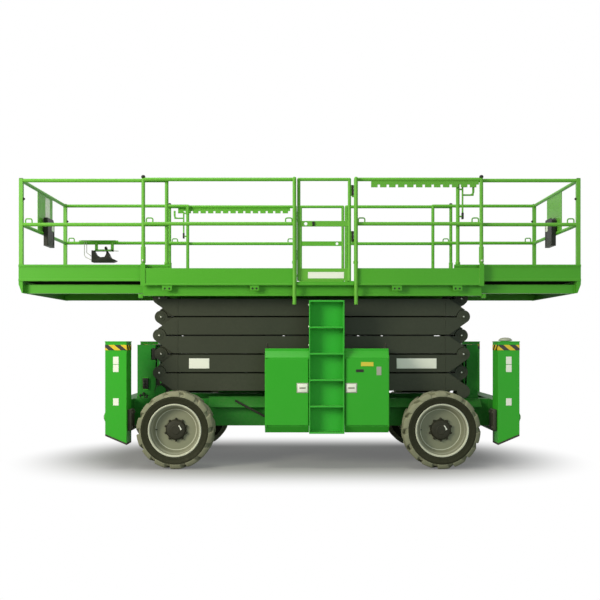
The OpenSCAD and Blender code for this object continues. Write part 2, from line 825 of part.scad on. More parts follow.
module cabinet(end) {
    x = end == "front" ? cabinet_x[0] : cabinet_x[1];
    hx = door_hinge_x(end);
    difference() {
        plate_yz(cabinet_outline(0), [x, x + cabinet_len]);
        plate_yz(cabinet_outline(cabinet_wall), [x + cabinet_wall, x + cabinet_len - cabinet_wall]);
        block([x + 30, x + cabinet_len - 30], [cabinet_out_y - cabinet_wall - 1, cabinet_out_y + 1],
            [door_low_z + 25, door_top_z - 25]);
    }
    for (z = [door_low_z - hinge_gap - 12, door_top_z + hinge_gap])
        block([hx - door_edge_r, hx + door_edge_r], [cabinet_out_y - 20, door_y + door_edge_r], [z, z + 12]);
    bar_z(hx, door_y, hinge_pin_r, [door_low_z - hinge_gap - 1, door_low_z + hinge_pin_h]);
    bar_z(hx, door_y, hinge_pin_r, [door_top_z - hinge_pin_h, door_top_z + hinge_gap + 1]);
}

module cabinets(side) {
    color(green) on_side(side) for (end = ["front", "rear"]) cabinet(end);
}

module door(end, side) {
    hx = door_hinge_x(end);
    reach = cabinet_len - 2 * door_edge_r;
    color(green) on_side(side) difference() {
        union() {
            bar_z(hx, door_y, door_edge_r, [door_low_z, door_top_z]);
            block(end == "front" ? [hx, hx + reach] : [hx - reach, hx],
                [door_y - door_edge_r, door_y + door_edge_r], [door_low_z, door_top_z]);
        }
        for (z = [[door_low_z - 1, door_low_z + hinge_pin_h + 2],
            [door_top_z - hinge_pin_h - 2, door_top_z + 1]])
            bar_z(hx, door_y, hinge_pin_r + fit_gap, z);
    }
}

module battery_blocks() {
    color(dark) both_sides() for (x = cabinet_x)
        block([x + battery_room, x + cabinet_len - battery_room],
            [cabinet_in_y + cabinet_wall + 32, cabinet_out_y - slope_depth - 30],
            [cabinet_low_z + cabinet_wall, cabinet_low_z + cabinet_wall + battery_h]);
}

module ladder() {
    back_y = cabinet_out_y - step_depth + 46;
    front_y = back_y + step_depth;
    rise = (ladder_top_z - ladder_low_z) / (steps - 1);
    x = [ladder_x, ladder_x + ladder_w];
    for (s = [x[0], x[1] - ladder_t])
        block([s, s + ladder_t], [back_y, front_y], [ladder_low_z - step_t, ladder_top_z]);
    block(x, [back_y, back_y + ladder_t], [ladder_low_z - step_t, ladder_top_z]);
    for (i = [0 : steps - 1])
        block(x, [back_y, front_y], [ladder_low_z + i * rise - step_t, ladder_low_z + i * rise]);
    block([x[0] + 60, x[1] - 60], [beam_out_y, back_y + 1], [frame_low_z + 60, track_z - 60]);
}

module ladders() {
    color(green) both_sides() ladder();
}

// Main deck with its toe boards, side beams, roller tracks and pivot lugs
module main_deck() {
    x = [-deck_front_x, deck_rear_x];
    cross_y = ext_beam_y - 10;
    beam_x = [x[0] + 10, x[1] - 10];
    beam_y = side_beam_y + side_beam_w;
    lip_end = rail_r + 2;
    lug_y = [arm_out_y, arm_out_y + arm_w / 2 - fit_gap];
    color(light_green) {
        block(x, [-fascia_in_y, fascia_in_y], [deck_low_z, deck_z]);
        both_sides() {
            block(x, [fascia_in_y, fascia_out_y], [fascia_low_z, deck_z]);
            block([x[0], gate_front_x], [fascia_in_y, fascia_out_y], [deck_z, fascia_top_z]);
            block([gate_rear_x, x[1]], [fascia_in_y, fascia_out_y], [deck_z, fascia_top_z]);
            block(beam_x, [side_beam_y, beam_y], [side_beam_z, deck_low_z]);
            block(beam_x, [beam_y, beam_y + lip_reach], [side_beam_z, side_beam_z + lip_h]);
            for (lip = [[x[0], gate_front_x - lip_end], [gate_front_x + lip_end, gate_rear_x - lip_end],
                [gate_rear_x + lip_end, x[1]]])
                block(lip, [fascia_out_y, fascia_out_y + lip_reach], [fascia_low_z, fascia_low_z + lip_h]);
            block([pin_left_x - lug_r, pin_right_x + roller_r],
                [upper_track_y, upper_track_y + upper_track_w], [upper_track_z, deck_low_z]);
            for (e = ["front", "rear"]) at_end(e) {
                block([-ext_lap, 0], [ext_rail_y - 60, ext_rail_y], [deck_z, ext_low_z - fit_gap]);
                block([-strip_w, 0], [fascia_out_y, fascia_out_y + lip_reach],
                    [fascia_low_z - lip_reach, fascia_top_z + strip_w]);
            }
            difference() {
                union() {
                    bar_y(pin_left_x, top_pin_z, lug_r, lug_y);
                    block([pin_left_x - lug_r, pin_left_x + lug_r], lug_y, [top_pin_z, deck_low_z]);
                }
                bar_y(pin_left_x, top_pin_z, tube_r + fit_gap, [lug_y[0] - 1, lug_y[1] + 1]);
            }
        }
        for (i = [0 : 4]) {
            cx = pin_left_x + i * pin_span / 4;
            block([cx - 40, cx + 40], [-cross_y, cross_y], [upper_track_z + 8, deck_low_z]);
        }
    }
}

// Guard rail panel along one side, drawn on the far side
module rail_panel(x, y, floor_z) {
    for (i = [0, 1]) {
        bar_z(x[i], y, rail_r, [floor_z[i], top_rail_z]);
        translate([x[i], y, top_rail_z]) sphere(r = rail_r);
    }
    for (rz = [mid_rail_z, top_rail_z]) bar_x(y, rz, rail_r, x);
}

// Rack of teeth under a top rail that locks an extension in place
module lock_rack(x, teeth) {
    tooth = rack_pitch * tooth_share;
    y = [rail_y - rack_t / 2, rail_y + rack_t / 2];
    block([x, x + teeth * rack_pitch], y, [top_rail_z - 0.65 * rack_h, top_rail_z]);
    for (i = [0 : teeth - 1])
        block([x + i * rack_pitch, x + i * rack_pitch + tooth], y,
            [top_rail_z - rack_h, top_rail_z - 0.6 * rack_h]);
}

// Grab post outside the toe board beside a gate
module grab_post(x) {
    bar_z(x, grab_y, rail_r, [grab_low_z, top_rail_z]);
    for (z = [mid_rail_z, top_rail_z]) bar_y(x, z, rail_r, [rail_y, grab_y]);
    for (y = [rail_y, grab_y]) translate([x, y, top_rail_z]) sphere(r = rail_r);
}

function gate_hinge_x(side) = side == "near" ? gate_rear_x - gate_hinge_gap : gate_front_x + gate_hinge_gap;

// Pins that a gate hangs on
module gate_pins(side) {
    hx = gate_hinge_x(side);
    post_x = side == "near" ? gate_rear_x : gate_front_x;
    for (z = gate_pin_z) {
        block([min(hx - gate_bracket_half, post_x), max(hx + gate_bracket_half, post_x)],
            [rail_y - gate_bracket_half, rail_y + gate_bracket_half], [z - 12, z]);
        bar_z(hx, rail_y, gate_pin_r, [z - 6, z + gate_barrel_h]);
    }
}

module main_rails(side) {
    color(rail_green) on_side(side) {
        rail_panel([main_post_front_x, gate_front_x], rail_y, [deck_z, deck_z]);
        rail_panel([gate_rear_x, main_post_rear_x], rail_y, [deck_z, deck_z]);
        for (x = [gate_front_x, gate_rear_x]) grab_post(x);
        for (x = [main_post_front_x, main_post_rear_x])
            bar_z(x, rail_y, sleeve_d / 2, [sleeve_low_z, sleeve_top_z]);
        if (side == "near") lock_rack(main_post_rear_x - rear_rack_gap - rear_teeth * rack_pitch, rear_teeth);
        else lock_rack(main_post_front_x + front_rack_gap, front_teeth);
        gate_pins(side);
    }
}

// Gate between the grab posts, with a toe board and a plate for a mid rail
module gate(side) {
    hx = gate_hinge_x(side);
    dir = side == "near" ? -1 : 1;
    near_x = hx + dir * gate_hinge_gap;
    far_x = (side == "near" ? gate_front_x : gate_rear_x) - dir * (rail_r + 27);
    x = [min(near_x, far_x), max(near_x, far_x)];
    color(rail_green) on_side(side) {
        for (px = x) {
            bar_z(px, rail_y, gate_r, [gate_low_z, top_rail_z]);
            translate([px, rail_y, top_rail_z]) sphere(r = gate_r);
        }
        bar_x(rail_y, top_rail_z, gate_r, x);
        difference() {
            block(x, [rail_y - 6, rail_y + 6], [mid_rail_z - 30, mid_rail_z + 30]);
            bar_y(far_x - dir * 75, mid_rail_z, 18, [rail_y - 7, rail_y + 7]);
        }
        block(x, [rail_y - 6, rail_y + 6], [gate_low_z, fascia_top_z]);
        for (z = gate_pin_z) difference() {
            union() {
                bar_z(hx, rail_y, gate_barrel_r, [z + fit_gap, z + gate_barrel_h]);
                block([min(hx, near_x), max(hx, near_x)], [rail_y - gate_pin_r, rail_y + gate_pin_r],
                    [z + fit_gap, z + gate_barrel_h]);
            }
            bar_z(hx, rail_y, gate_pin_r + fit_gap, [z - 1, z + gate_barrel_h + 1]);
        }
    }
}

// Extension deck with its toe boards, end plate and lower beams
module extension_deck(end) {
    out = end == "front" ? front_out : rear_out;
    color(green) at_end(end) {
        block([-ext_lap, out], [-ext_half_y, ext_half_y], [ext_low_z, ext_low_z + ext_deck_t]);
        both_sides() {
            block([-ext_lap, out], [ext_half_y - ext_toe_t, ext_half_y], [ext_low_z, ext_toe_z]);
            for (z = [ext_low_z, ext_toe_z - ext_lip_h])
                block([-ext_lap, out], [ext_half_y, ext_half_y + ext_lip], [z, z + ext_lip_h]);
            block([-ext_beam_lap, out - end_plate_t + 1], [ext_beam_y, ext_beam_y + ext_beam_w],
                [ext_beam_z, ext_beam_top_z]);
        }
        plate_xz([[out - end_plate_t, ext_beam_z], [out - end_slope, ext_beam_z],
            [out, ext_beam_z + end_slope_h], [out, ext_toe_z], [out - end_plate_t, ext_toe_z]],
            [-ext_half_y, ext_half_y]);
    }
}

// Guard rails round an extension, with a plate in the end panel and a lock lever
module extension_rails(end) {
    out = end == "front" ? front_out : rear_out;
    end_x = out - end_plate_t / 2;
    floor_z = [ext_low_z + ext_deck_t, ext_toe_z];
    lever_y = end == "front" ? ext_rail_y : -ext_rail_y;
    lever_z = [mid_rail_z + 0.14 * rail_gap, top_rail_z - rack_h + 10];
    lever_x = -ext_post_in + lever_reach;
    grip_z = [mid_rail_z + 0.67 * rail_gap, top_rail_z - rack_h + 20];
    post_y = [ext_rail_y - end_post_w / 2, ext_rail_y + end_post_w / 2];
    color(rail_green) at_end(end) {
        both_sides() rail_panel([-ext_post_in, end_x], ext_rail_y, floor_z);
        for (z = [mid_rail_z, top_rail_z]) bar_y(end_x, z, rail_r, [-ext_rail_y, ext_rail_y]);
        block([end_x - 4, end_x + 4], [-end_panel_half, end_panel_half], [mid_rail_z, top_rail_z]);
        both_sides() block([end_x - end_post_w / 2, end_x + end_post_w / 2], post_y,
            [ext_toe_z, top_rail_z + rail_r]);
        block([lever_x, lever_x + lever_t], [lever_y - lever_t, lever_y + lever_t], lever_z);
        for (z = [lever_z[0] + lever_t, lever_z[1] - 2 * lever_t])
            block([-ext_post_in, lever_x + 1], [lever_y - lever_t, lever_y + lever_t], [z, z + lever_t]);
        bar_x(lever_y, grip_z[0], grip_r, [lever_x + 1, lever_x + grip_reach]);
        bar_z(lever_x + grip_reach, lever_y, grip_r, grip_z);
        translate([lever_x + grip_reach, lever_y, grip_z[0]]) sphere(r = grip_r);
    }
}

// Document box on the inner face of an extension's end panel
module document_box(end) {
    out = end == "front" ? front_out : rear_out;
    face = out - end_plate_t / 2 - rail_r - fit_gap;
    low_z = mid_rail_z - 0.44 * box_h;
    top_z = low_z + box_h;
    far_y = end == "front" ? 1 : -1;
    color(dark) at_end(end) difference() {
        plate_yz([for (p = [[-box_half, low_z], [box_half, low_z], [box_half, top_z - box_cut],
            [box_half - box_cut, top_z], [-box_half, top_z]]) [p[0] * far_y, p[1]]],
            [face - box_depth, face]);
        block([face - box_depth + box_wall, face - box_wall], [-box_half + box_wall, box_half - box_wall],
            [low_z + box_wall, top_z + 1]);
    }
}

// Control box that hangs on the far mid rail of the front extension
module platform_control() {
    x = -overall_len / 2 + control_x;
    y = ext_rail_y - rail_r - fit_gap - control_plate_t;
    top_z = mid_rail_z - 0.67 * control_h;
    hanger_z = mid_rail_z - hanger_h / 2;
    stick_x = x + control_len / 2;
    stick_y = y - control_depth / 2;
    color(dark) {
        plate_yz([[y - control_depth, top_z - control_h], [y, top_z - control_h], [y, top_z],
            [y - control_depth, top_z - 0.4 * control_h]], [x, x + control_len]);
        block([x - hanger_reach, x + control_len], [y, y + control_plate_t],
            [hanger_z, hanger_z + hanger_h]);
        for (s = [0.1, 0.8]) block([x + s * control_len, x + (s + 0.1) * control_len],
            [y - 1, y + control_plate_t], [top_z - control_h, hanger_z + 1]);
        bar_z(stick_x, stick_y, control_plate_t, [top_z - 0.6 * control_h, top_z + 0.35 * control_h]);
        translate([stick_x, stick_y, top_z + 0.4 * control_h]) sphere(r = 2 * control_plate_t);
    }
}

chassis_frame();
end_towers();
axle_front();
axle_rear();
jack_housings_front();
jack_housings_rear();
ladders();
battery_blocks();
for (s = sides) {
    cabinets(s);
    knuckle(s);
    main_rails(s);
    gate(s);
    for (e = ["front", "rear"]) {
        door(e, s);
        rim(e, s);
        tyre(e, s);
        jack_leg(e, s);
    }
}
for (k = [1 : levels]) {
    arms(k, true);
    arms(k, false);
}
lift_barrels();
lift_rods();
main_deck();
for (e = ["front", "rear"]) {
    extension_deck(e);
    extension_rails(e);
    document_box(e);
}
platform_control();
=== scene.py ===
import math
import bpy
import bmesh
from mathutils import Matrix, Vector


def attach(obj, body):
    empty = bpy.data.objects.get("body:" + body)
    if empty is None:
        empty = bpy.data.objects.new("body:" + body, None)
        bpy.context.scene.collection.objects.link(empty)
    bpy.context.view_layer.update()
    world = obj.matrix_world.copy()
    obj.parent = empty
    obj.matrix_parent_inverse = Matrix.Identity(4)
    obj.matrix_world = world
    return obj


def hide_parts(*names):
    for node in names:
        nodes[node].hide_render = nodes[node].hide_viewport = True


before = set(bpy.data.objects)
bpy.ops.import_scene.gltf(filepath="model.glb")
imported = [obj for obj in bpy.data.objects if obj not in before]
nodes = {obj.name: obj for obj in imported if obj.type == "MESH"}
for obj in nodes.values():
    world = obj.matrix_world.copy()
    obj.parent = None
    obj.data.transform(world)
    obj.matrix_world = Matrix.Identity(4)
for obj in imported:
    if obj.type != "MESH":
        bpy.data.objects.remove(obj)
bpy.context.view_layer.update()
print("frame loaded:", len(nodes), "nodes")


# camera square to the side, a little above the wheels, as in the photograph
camera = {"place": (0.003, -10.25, 1.35), "lens": 51.7, "sensor": 36.0, "shiftY": 0.07}


def addCamera():
    data = bpy.data.cameras.new("sideCamera")
    data.lens = camera["lens"]
    data.sensor_width = camera["sensor"]
    data.shift_y = camera["shiftY"]
    data.clip_end = 200.0
    cam = bpy.data.objects.new("sideCamera", data)
    cam.location = camera["place"]
    cam.rotation_euler = (math.radians(90), 0, 0)
    bpy.context.scene.collection.objects.link(cam)
    bpy.context.scene.camera = cam


addCamera()
bpy.context.scene.view_settings.view_transform = "Standard"
print("camera placed")


# node trees: small helpers so that each material reads as a list of nodes
def addNode(tree, kind, **sockets):
    made = tree.nodes.new(kind)
    for name, value in sockets.items():
        made.inputs[name.replace("_", " ")].default_value = value
    return made


def link(start, end):
    end.id_data.links.new(start, end)


def srgb(r, g, b):
    def line(c):
        c = c / 255.0
        return c / 12.92 if c <= 0.04045 else ((c + 0.055) / 1.055) ** 2.4
    return (line(r), line(g), line(b), 1.0)


def newGroup(name, ins, outs):
    group = bpy.data.node_groups.new(name, "ShaderNodeTree")
    for label, value in ins.items():
        kind = "NodeSocketColor" if isinstance(value, tuple) else "NodeSocketFloat"
        group.interface.new_socket(name=label, in_out="INPUT", socket_type=kind).default_value = value
    for label, kind in outs.items():
        group.interface.new_socket(name=label, in_out="OUTPUT", socket_type="NodeSocket" + kind)
    return group, group.nodes.new("NodeGroupInput"), group.nodes.new("NodeGroupOutput")


def mathNode(tree, operation, a, b=0.0, clamp=False):
    made = tree.nodes.new("ShaderNodeMath")
    made.operation = operation
    made.use_clamp = clamp
    for index, value in enumerate((a, b)):
        if isinstance(value, (int, float)):
            made.inputs[index].default_value = value
        else:
            link(value, made.inputs[index])
    return made.outputs[0]


def mixColour(tree, factor, a, b):
    made = tree.nodes.new("ShaderNodeMix")
    made.data_type = "RGBA"
    for socket, value in ((made.inputs[0], factor), (made.inputs[6], a), (made.inputs[7], b)):
        if isinstance(value, (int, float, tuple)):
            socket.default_value = value
        else:
            link(value, socket)
    return made.outputs[2]


def noiseNode(tree, place, **sockets):
    made = addNode(tree, "ShaderNodeTexNoise", **sockets)
    link(place, made.inputs["Vector"])
    return made


def blendShaders(tree, factor, a, b, leave):
    made = tree.nodes.new("ShaderNodeMixShader")
    for socket, value in zip(made.inputs, (factor, a.outputs[0], b.outputs[0])):
        link(value, socket)
    link(made.outputs[0], leave.inputs["Surface"])


def seenRays(tree):
    path = tree.nodes.new("ShaderNodeLightPath")
    seen = mathNode(tree, "MAXIMUM", path.outputs["Is Camera Ray"], path.outputs["Is Glossy Ray"])
    return mathNode(tree, "MAXIMUM", seen, path.outputs["Is Transmission Ray"])


def objectPlace(tree):
    coord = tree.nodes.new("ShaderNodeTexCoord")
    split = tree.nodes.new("ShaderNodeSeparateXYZ")
    link(coord.outputs["Object"], split.inputs[0])
    return coord.outputs["Object"], split.outputs


# yard dust: lies on upward faces and low down, broken up by two sizes of noise
dustLook = {"broad": 2.3, "fine": 38.0, "lowTo": 1.3, "upward": 0.55, "always": 0.3, "gain": 3.2, "matt": 0.4}


def makeDustGroup():
    group, enter, leave = newGroup(
        "yardDust",
        {"Colour": (0.2, 0.4, 0.1, 1), "Dust": (0.4, 0.38, 0.3, 1), "Amount": 0.2, "Low": 0.5, "Rough": 0.4},
        {"Colour": "Color", "Rough": "Float"})
    place, axes = objectPlace(group)
    broad = noiseNode(group, place, Scale=dustLook["broad"], Detail=6.0, Roughness=0.62)
    fine = noiseNode(group, place, Scale=dustLook["fine"], Detail=4.0, Roughness=0.6)
    lowness = addNode(group, "ShaderNodeMapRange", From_Max=dustLook["lowTo"], To_Min=1.0, To_Max=0.0)
    link(axes["Z"], lowness.inputs["Value"])
    shape = group.nodes.new("ShaderNodeNewGeometry")
    facing = group.nodes.new("ShaderNodeSeparateXYZ")
    link(shape.outputs["Normal"], facing.inputs[0])
    upward = mathNode(group, "MAXIMUM", facing.outputs["Z"], 0.0)
    low = mathNode(group, "MULTIPLY", lowness.outputs[0], enter.outputs["Low"])
    lies = mathNode(group, "ADD", mathNode(group, "MULTIPLY", upward, dustLook["upward"]), low)
    lies = mathNode(group, "ADD", lies, dustLook["always"])
    patch = mathNode(group, "MULTIPLY", broad.outputs[0], fine.outputs[0])
    patch = mathNode(group, "MULTIPLY", patch, dustLook["gain"])
    mask = mathNode(group, "MULTIPLY", lies, patch)
    mask = mathNode(group, "MULTIPLY", mask, enter.outputs["Amount"], True)
    dusty = mixColour(group, mask, enter.outputs["Colour"], enter.outputs["Dust"])
    link(dusty, leave.inputs["Colour"])
    matt = mathNode(group, "MULTIPLY", mask, dustLook["matt"])
    link(mathNode(group, "ADD", enter.outputs["Rough"], matt, True), leave.inputs["Rough"])
    return group


# edges rubbed thin: the rounded normal against the flat one finds them
edgeLook = {"radius": 0.006, "gain": 5.0, "breakUp": 21.0}


def makeEdgeGroup():
    group, enter, leave = newGroup(
        "rubbedEdges",
        {"Colour": (0.2, 0.4, 0.1, 1), "Edge": (0.6, 0.7, 0.5, 1), "Amount": 0.5},
        {"Colour": "Color", "Normal": "Vector"})
    bevel = addNode(group, "ShaderNodeBevel", Radius=edgeLook["radius"])
    bevel.samples = 6
    shape = group.nodes.new("ShaderNodeNewGeometry")
    turn = group.nodes.new("ShaderNodeVectorMath")
    turn.operation = "DOT_PRODUCT"
    link(bevel.outputs[0], turn.inputs[0])
    link(shape.outputs["Normal"], turn.inputs[1])
    edge = mathNode(group, "SUBTRACT", 1.0, turn.outputs["Value"], True)
    place = objectPlace(group)[0]
    breakUp = noiseNode(group, place, Scale=edgeLook["breakUp"], Detail=5.0, Roughness=0.65)
    mask = mathNode(group, "MULTIPLY", edge, edgeLook["gain"], True)
    mask = mathNode(group, "MULTIPLY", mask, breakUp.outputs[0])
    mask = mathNode(group, "MULTIPLY", mask, enter.outputs["Amount"], True)
    rubbed = mixColour(group, mask, enter.outputs["Colour"], enter.outputs["Edge"])
    link(rubbed, leave.inputs["Colour"])
    link(bevel.outputs[0], leave.inputs["Normal"])
    return group


# sprayed paint: shade drifts a little and the skin is faintly pebbled
def makeSprayGroup():
    group, enter, leave = newGroup(
        "sprayedSkin",
        {"Colour": (0.2, 0.4, 0.1, 1), "Drift": 0.1, "Grain": 260.0},
        {"Colour": "Color", "Height": "Float"})
    place = objectPlace(group)[0]
    cloud = noiseNode(group, place, Scale=1.1, Detail=3.0)
    skin = noiseNode(group, place, Detail=2.0)
    link(enter.outputs["Grain"], skin.inputs["Scale"])
    shade = group.nodes.new("ShaderNodeHueSaturation")
    link(enter.outputs["Colour"], shade.inputs["Color"])
    drift = mathNode(group, "SUBTRACT", cloud.outputs[0], 0.5)
    drift = mathNode(group, "MULTIPLY", drift, enter.outputs["Drift"])
    link(mathNode(group, "ADD", drift, 1.0), shade.inputs["Value"])
    link(shade.outputs[0], leave.inputs["Colour"])
    link(skin.outputs[0], leave.inputs["Height"])
    return group


# slanted warning stripes round an upright post
stripeLook = {"pitch": 7.9, "slant": 1.2}


def makeStripeGroup():
    group, enter, leave = newGroup(
        "warningStripes",
        {"Dark": (0.02, 0.02, 0.02, 1), "Bright": (0.8, 0.6, 0.05, 1), "Pitch": stripeLook["pitch"]},
        {"Colour": "Color"})
    axes = objectPlace(group)[1]
    around = mathNode(group, "ADD", axes["X"], axes["Y"])
    slant = mathNode(group, "ADD", around, mathNode(group, "MULTIPLY", axes["Z"], stripeLook["slant"]))
    turn = mathNode(group, "FRACT", mathNode(group, "MULTIPLY", slant, enter.outputs["Pitch"]))
    band = mathNode(group, "GREATER_THAN", turn, 0.5)
    striped = mixColour(group, band, enter.outputs["Dark"], enter.outputs["Bright"])
    link(striped, leave.inputs["Colour"])
    return group


dustGroup = makeDustGroup()
edgeGroup = makeEdgeGroup()
sprayGroup = makeSprayGroup()
stripeGroup = makeStripeGroup()


def useGroup(tree, group, **values):
    made = tree.nodes.new("ShaderNodeGroup")
    made.node_tree = group
    for name, value in values.items():
        made.inputs[name].default_value = value
    return made


# a finish: base colour, roughness, rubbed edges, dust and pebbled skin, from the groups above
dustColour = (150, 145, 125)
pebbleDepth = 0.002


def finish(name, colour, rough, metal=0.0, edge=None, wear=0.0, dust=0.2, low=0.5, drift=0.12, grain=260.0,
           bump=0.05, shine=0.4, stripes=None):
    made = bpy.data.materials.new(name)
    made.use_nodes = True
    tree = made.node_tree
    shader = tree.nodes["Principled BSDF"]
    shader.inputs["Metallic"].default_value = metal
    shader.inputs["Specular IOR Level"].default_value = shine
    spray = useGroup(tree, sprayGroup, Colour=srgb(*colour), Drift=drift, Grain=grain)
    if stripes:
        warn = useGroup(tree, stripeGroup, Dark=srgb(*stripes), Bright=srgb(*colour))
        link(warn.outputs["Colour"], spray.inputs["Colour"])
    rub = useGroup(tree, edgeGroup, Edge=srgb(*(edge or colour)), Amount=wear)
    lie = useGroup(tree, dustGroup, Dust=srgb(*dustColour), Amount=dust, Low=low, Rough=rough)
    pebble = addNode(tree, "ShaderNodeBump", Strength=bump, Distance=pebbleDepth)
    link(spray.outputs["Colour"], rub.inputs["Colour"])
    link(rub.outputs["Colour"], lie.inputs["Colour"])
    link(lie.outputs["Colour"], shader.inputs["Base Color"])
    link(lie.outputs["Rough"], shader.inputs["Roughness"])
    link(spray.outputs["Height"], pebble.inputs["Height"])
    link(rub.outputs["Normal"], pebble.inputs["Normal"])
    link(pebble.outputs["Normal"], shader.inputs["Normal"])
    return made


finishValues = {
    "deckGreen": dict(
        colour=(80, 170, 42), rough=0.42, edge=(176, 214, 120), wear=0.5, dust=0.08, shine=0.16),
    "treadGreen": dict(
        colour=(104, 184, 66), rough=0.36, edge=(196, 216, 160), wear=0.9, dust=0.1, shine=0.25),
    "boxGreen": dict(
        colour=(50, 172, 38), rough=0.38, edge=(150, 210, 110), wear=0.45, dust=0.06, shine=0.18),
    # the ladder's green is brighter than the cabinets' green: painted light lifting the shade of its recessed
    # steps
    "ladderLitGreen": dict(
        colour=(50, 184, 52), rough=0.44, edge=(140, 200, 115), wear=0.7, dust=0.1, shine=0.16),
    # the rails' green is lighter than the deck's: a painted highlight on the thin tubes
    "railLitGreen": dict(
        colour=(104, 180, 58), rough=0.40, edge=(180, 215, 130), wear=0.3, dust=0.06, shine=0.2),
    "frameGreen": dict(
        colour=(24, 136, 34), rough=0.46, edge=(130, 195, 110), wear=0.5, dust=0.16, low=0.6, shine=0.16),
    "armBlack": dict(
        colour=(56, 61, 48), rough=0.46, edge=(112, 115, 98), wear=0.5, dust=0.1, grain=160.0, bump=0.08,
        shine=0.16),
    "darkSteel": dict(
        colour=(40, 42, 34), rough=0.55, metal=0.2, edge=(130, 130, 118), wear=0.6, dust=0.2, grain=120.0,
        bump=0.12, shine=0.16),
    "boltSteel": dict(
        colour=(186, 188, 176), rough=0.36, metal=0.6, edge=(225, 225, 215), wear=0.6, dust=0.1, bump=0.08),
    "chrome": dict(colour=(196, 198, 200), rough=0.14, metal=1.0, dust=0.08, bump=0.02, drift=0.05),
    "rimGrey": dict(
        colour=(136, 139, 116), rough=0.5, edge=(190, 190, 172), wear=0.5, bump=0.08, shine=0.2),
    # the lip and step-ring greys below are the rim grey painted lighter: painted highlight on the lip, its
    # inner ring and the step ring
    "litRimLip": dict(
        colour=(206, 209, 188), rough=0.44, edge=(222, 222, 206), wear=0.6, low=0.3, bump=0.08, shine=0.25),
    "rimShade": dict(colour=(152, 155, 134), rough=0.55, low=0.4, bump=0.08, shine=0.2),
    "hubDark": dict(
        colour=(34, 35, 24), rough=0.55, edge=(90, 92, 74), wear=0.6, dust=0.12, low=0.3, bump=0.1,
        shine=0.2),
    "rubber": dict(
        colour=(38, 41, 26), rough=0.8, edge=(84, 87, 68), wear=0.4, dust=0.1, low=0.3, grain=90.0,
        bump=0.2, shine=0.12),
    "dustyRubber": dict(
        colour=(126, 130, 106), rough=0.85, edge=(176, 178, 156), wear=0.8, dust=0.5, drift=0.7, grain=70.0,
        bump=0.35, shine=0.12),
    # black parts, also used for the dark sheets painted as shade in the tower pin recesses and the clip holes
    "blackPlasticAndShade": dict(
        colour=(30, 31, 27), rough=0.46, edge=(80, 80, 74), wear=0.4, dust=0.1, grain=420.0, bump=0.15,
        shine=0.2),
    "deepShade": dict(colour=(34, 44, 26), rough=0.9, dust=0.0, shine=0.0),
    # white sheet for labels, also used for the painted glint on the hubs and the painted reflection on the
    # front end panel
    "paleSheetAndGlint": dict(colour=(248, 250, 238), rough=0.42, dust=0.08, drift=0.04, bump=0.02),
    "yellowSheet": dict(colour=(222, 206, 60), rough=0.42, dust=0.06, drift=0.06, bump=0.02),
    "greySheet": dict(colour=(168, 172, 156), rough=0.45, dust=0.1, drift=0.06, bump=0.03),
    "hazard": dict(
        colour=(232, 200, 36), rough=0.44, dust=0.06, drift=0.06, bump=0.02, stripes=(34, 34, 28)),
}
finishes = {name: finish(name, **values) for name, values in finishValues.items()}
print("finishes made:", len(finishes))

nodeLook = {
    "chassis_": "frameGreen", "end_towers": "frameGreen", "axle_": "darkSteel", "jack_housings_": "boxGreen",
    "cabinets_": "boxGreen", "ladders": "ladderLitGreen", "battery_": "blackPlasticAndShade", "door_": "boxGreen",
    "knuckle_": "darkSteel", "rim_": "rimGrey", "tyre_": "rubber", "jack_leg_": "darkSteel",
    "arms_": "armBlack", "lift_barrels": "armBlack", "lift_rods": "chrome", "main_deck": "deckGreen",
    "main_rails_": "railLitGreen", "extension_deck_": "deckGreen", "extension_rails_": "railLitGreen",
    "gate_": "railLitGreen", "document_box_": "blackPlasticAndShade", "platform_control": "blackPlasticAndShade",
}


def dressNodes():
    for name, node in nodes.items():
        look = next(look for start, look in nodeLook.items() if name.startswith(start))
        node.data.materials.clear()
        node.data.materials.append(finishes[look])


dressNodes()
print("solids dressed")


# shapes: each adds one form to a bmesh, in metres in the machine's frame
def vertsOf(parts):
    return [part for part in parts if isinstance(part, bmesh.types.BMVert)]


def softenEdges(bm, edges, offset, segments):
    bmesh.ops.bevel(bm, geom=edges, offset=offset, affect="EDGES", segments=segments, profile=0.5,
                    material=-1)


def closeHoles(bm):
    bmesh.ops.holes_fill(bm, edges=[edge for edge in bm.edges if edge.is_boundary], sides=0)


def around(middle, half):
    return middle - half, middle + half


def box(bm, xs, ys, zs, turn=None):
    low, high = [Vector(corner) for corner in zip(xs, ys, zs)]
    made = bmesh.ops.create_cube(bm, size=1.0)["verts"]
    bmesh.ops.scale(bm, vec=[abs(v) for v in high - low], verts=made)
    if turn:
        bmesh.ops.transform(bm, matrix=turn, verts=made)
    bmesh.ops.translate(bm, vec=(low + high) / 2, verts=made)
    return made


def softBox(bm, xs, ys, zs, soft=0.002, segments=1, turn=None):
    made = box(bm, xs, ys, zs, turn)
    edges = list({edge for vert in made for edge in vert.link_edges})
    softenEdges(bm, edges, soft, segments)


def rod(bm, start, end, radius, sides=14, tip=None, soft=0.0):
    start, end = Vector(start), Vector(end)
    along = end - start
    place = Matrix.Translation((start + end) / 2) @ along.to_track_quat("Z", "Y").to_matrix().to_4x4()
    made = bmesh.ops.create_cone(bm, cap_ends=True, segments=sides, radius1=radius, depth=along.length,
                                 radius2=radius if tip is None else tip, matrix=place)["verts"]
    if soft:
        caps = {face for vert in made for face in vert.link_faces if len(face.verts) > 4}
        edges = list({edge for face in caps for edge in face.edges})
        softenEdges(bm, edges, soft, 2)


def bolt(bm, x, z, y0, y1, radius, sides, soft=0.0):
    rod(bm, (x, y0, z), (x, y1, z), radius, sides, soft=soft)


def upright(bm, x, y, zs, radius, sides, soft=0.0):
    rod(bm, (x, y, zs[0]), (x, y, zs[1]), radius, sides, soft=soft)


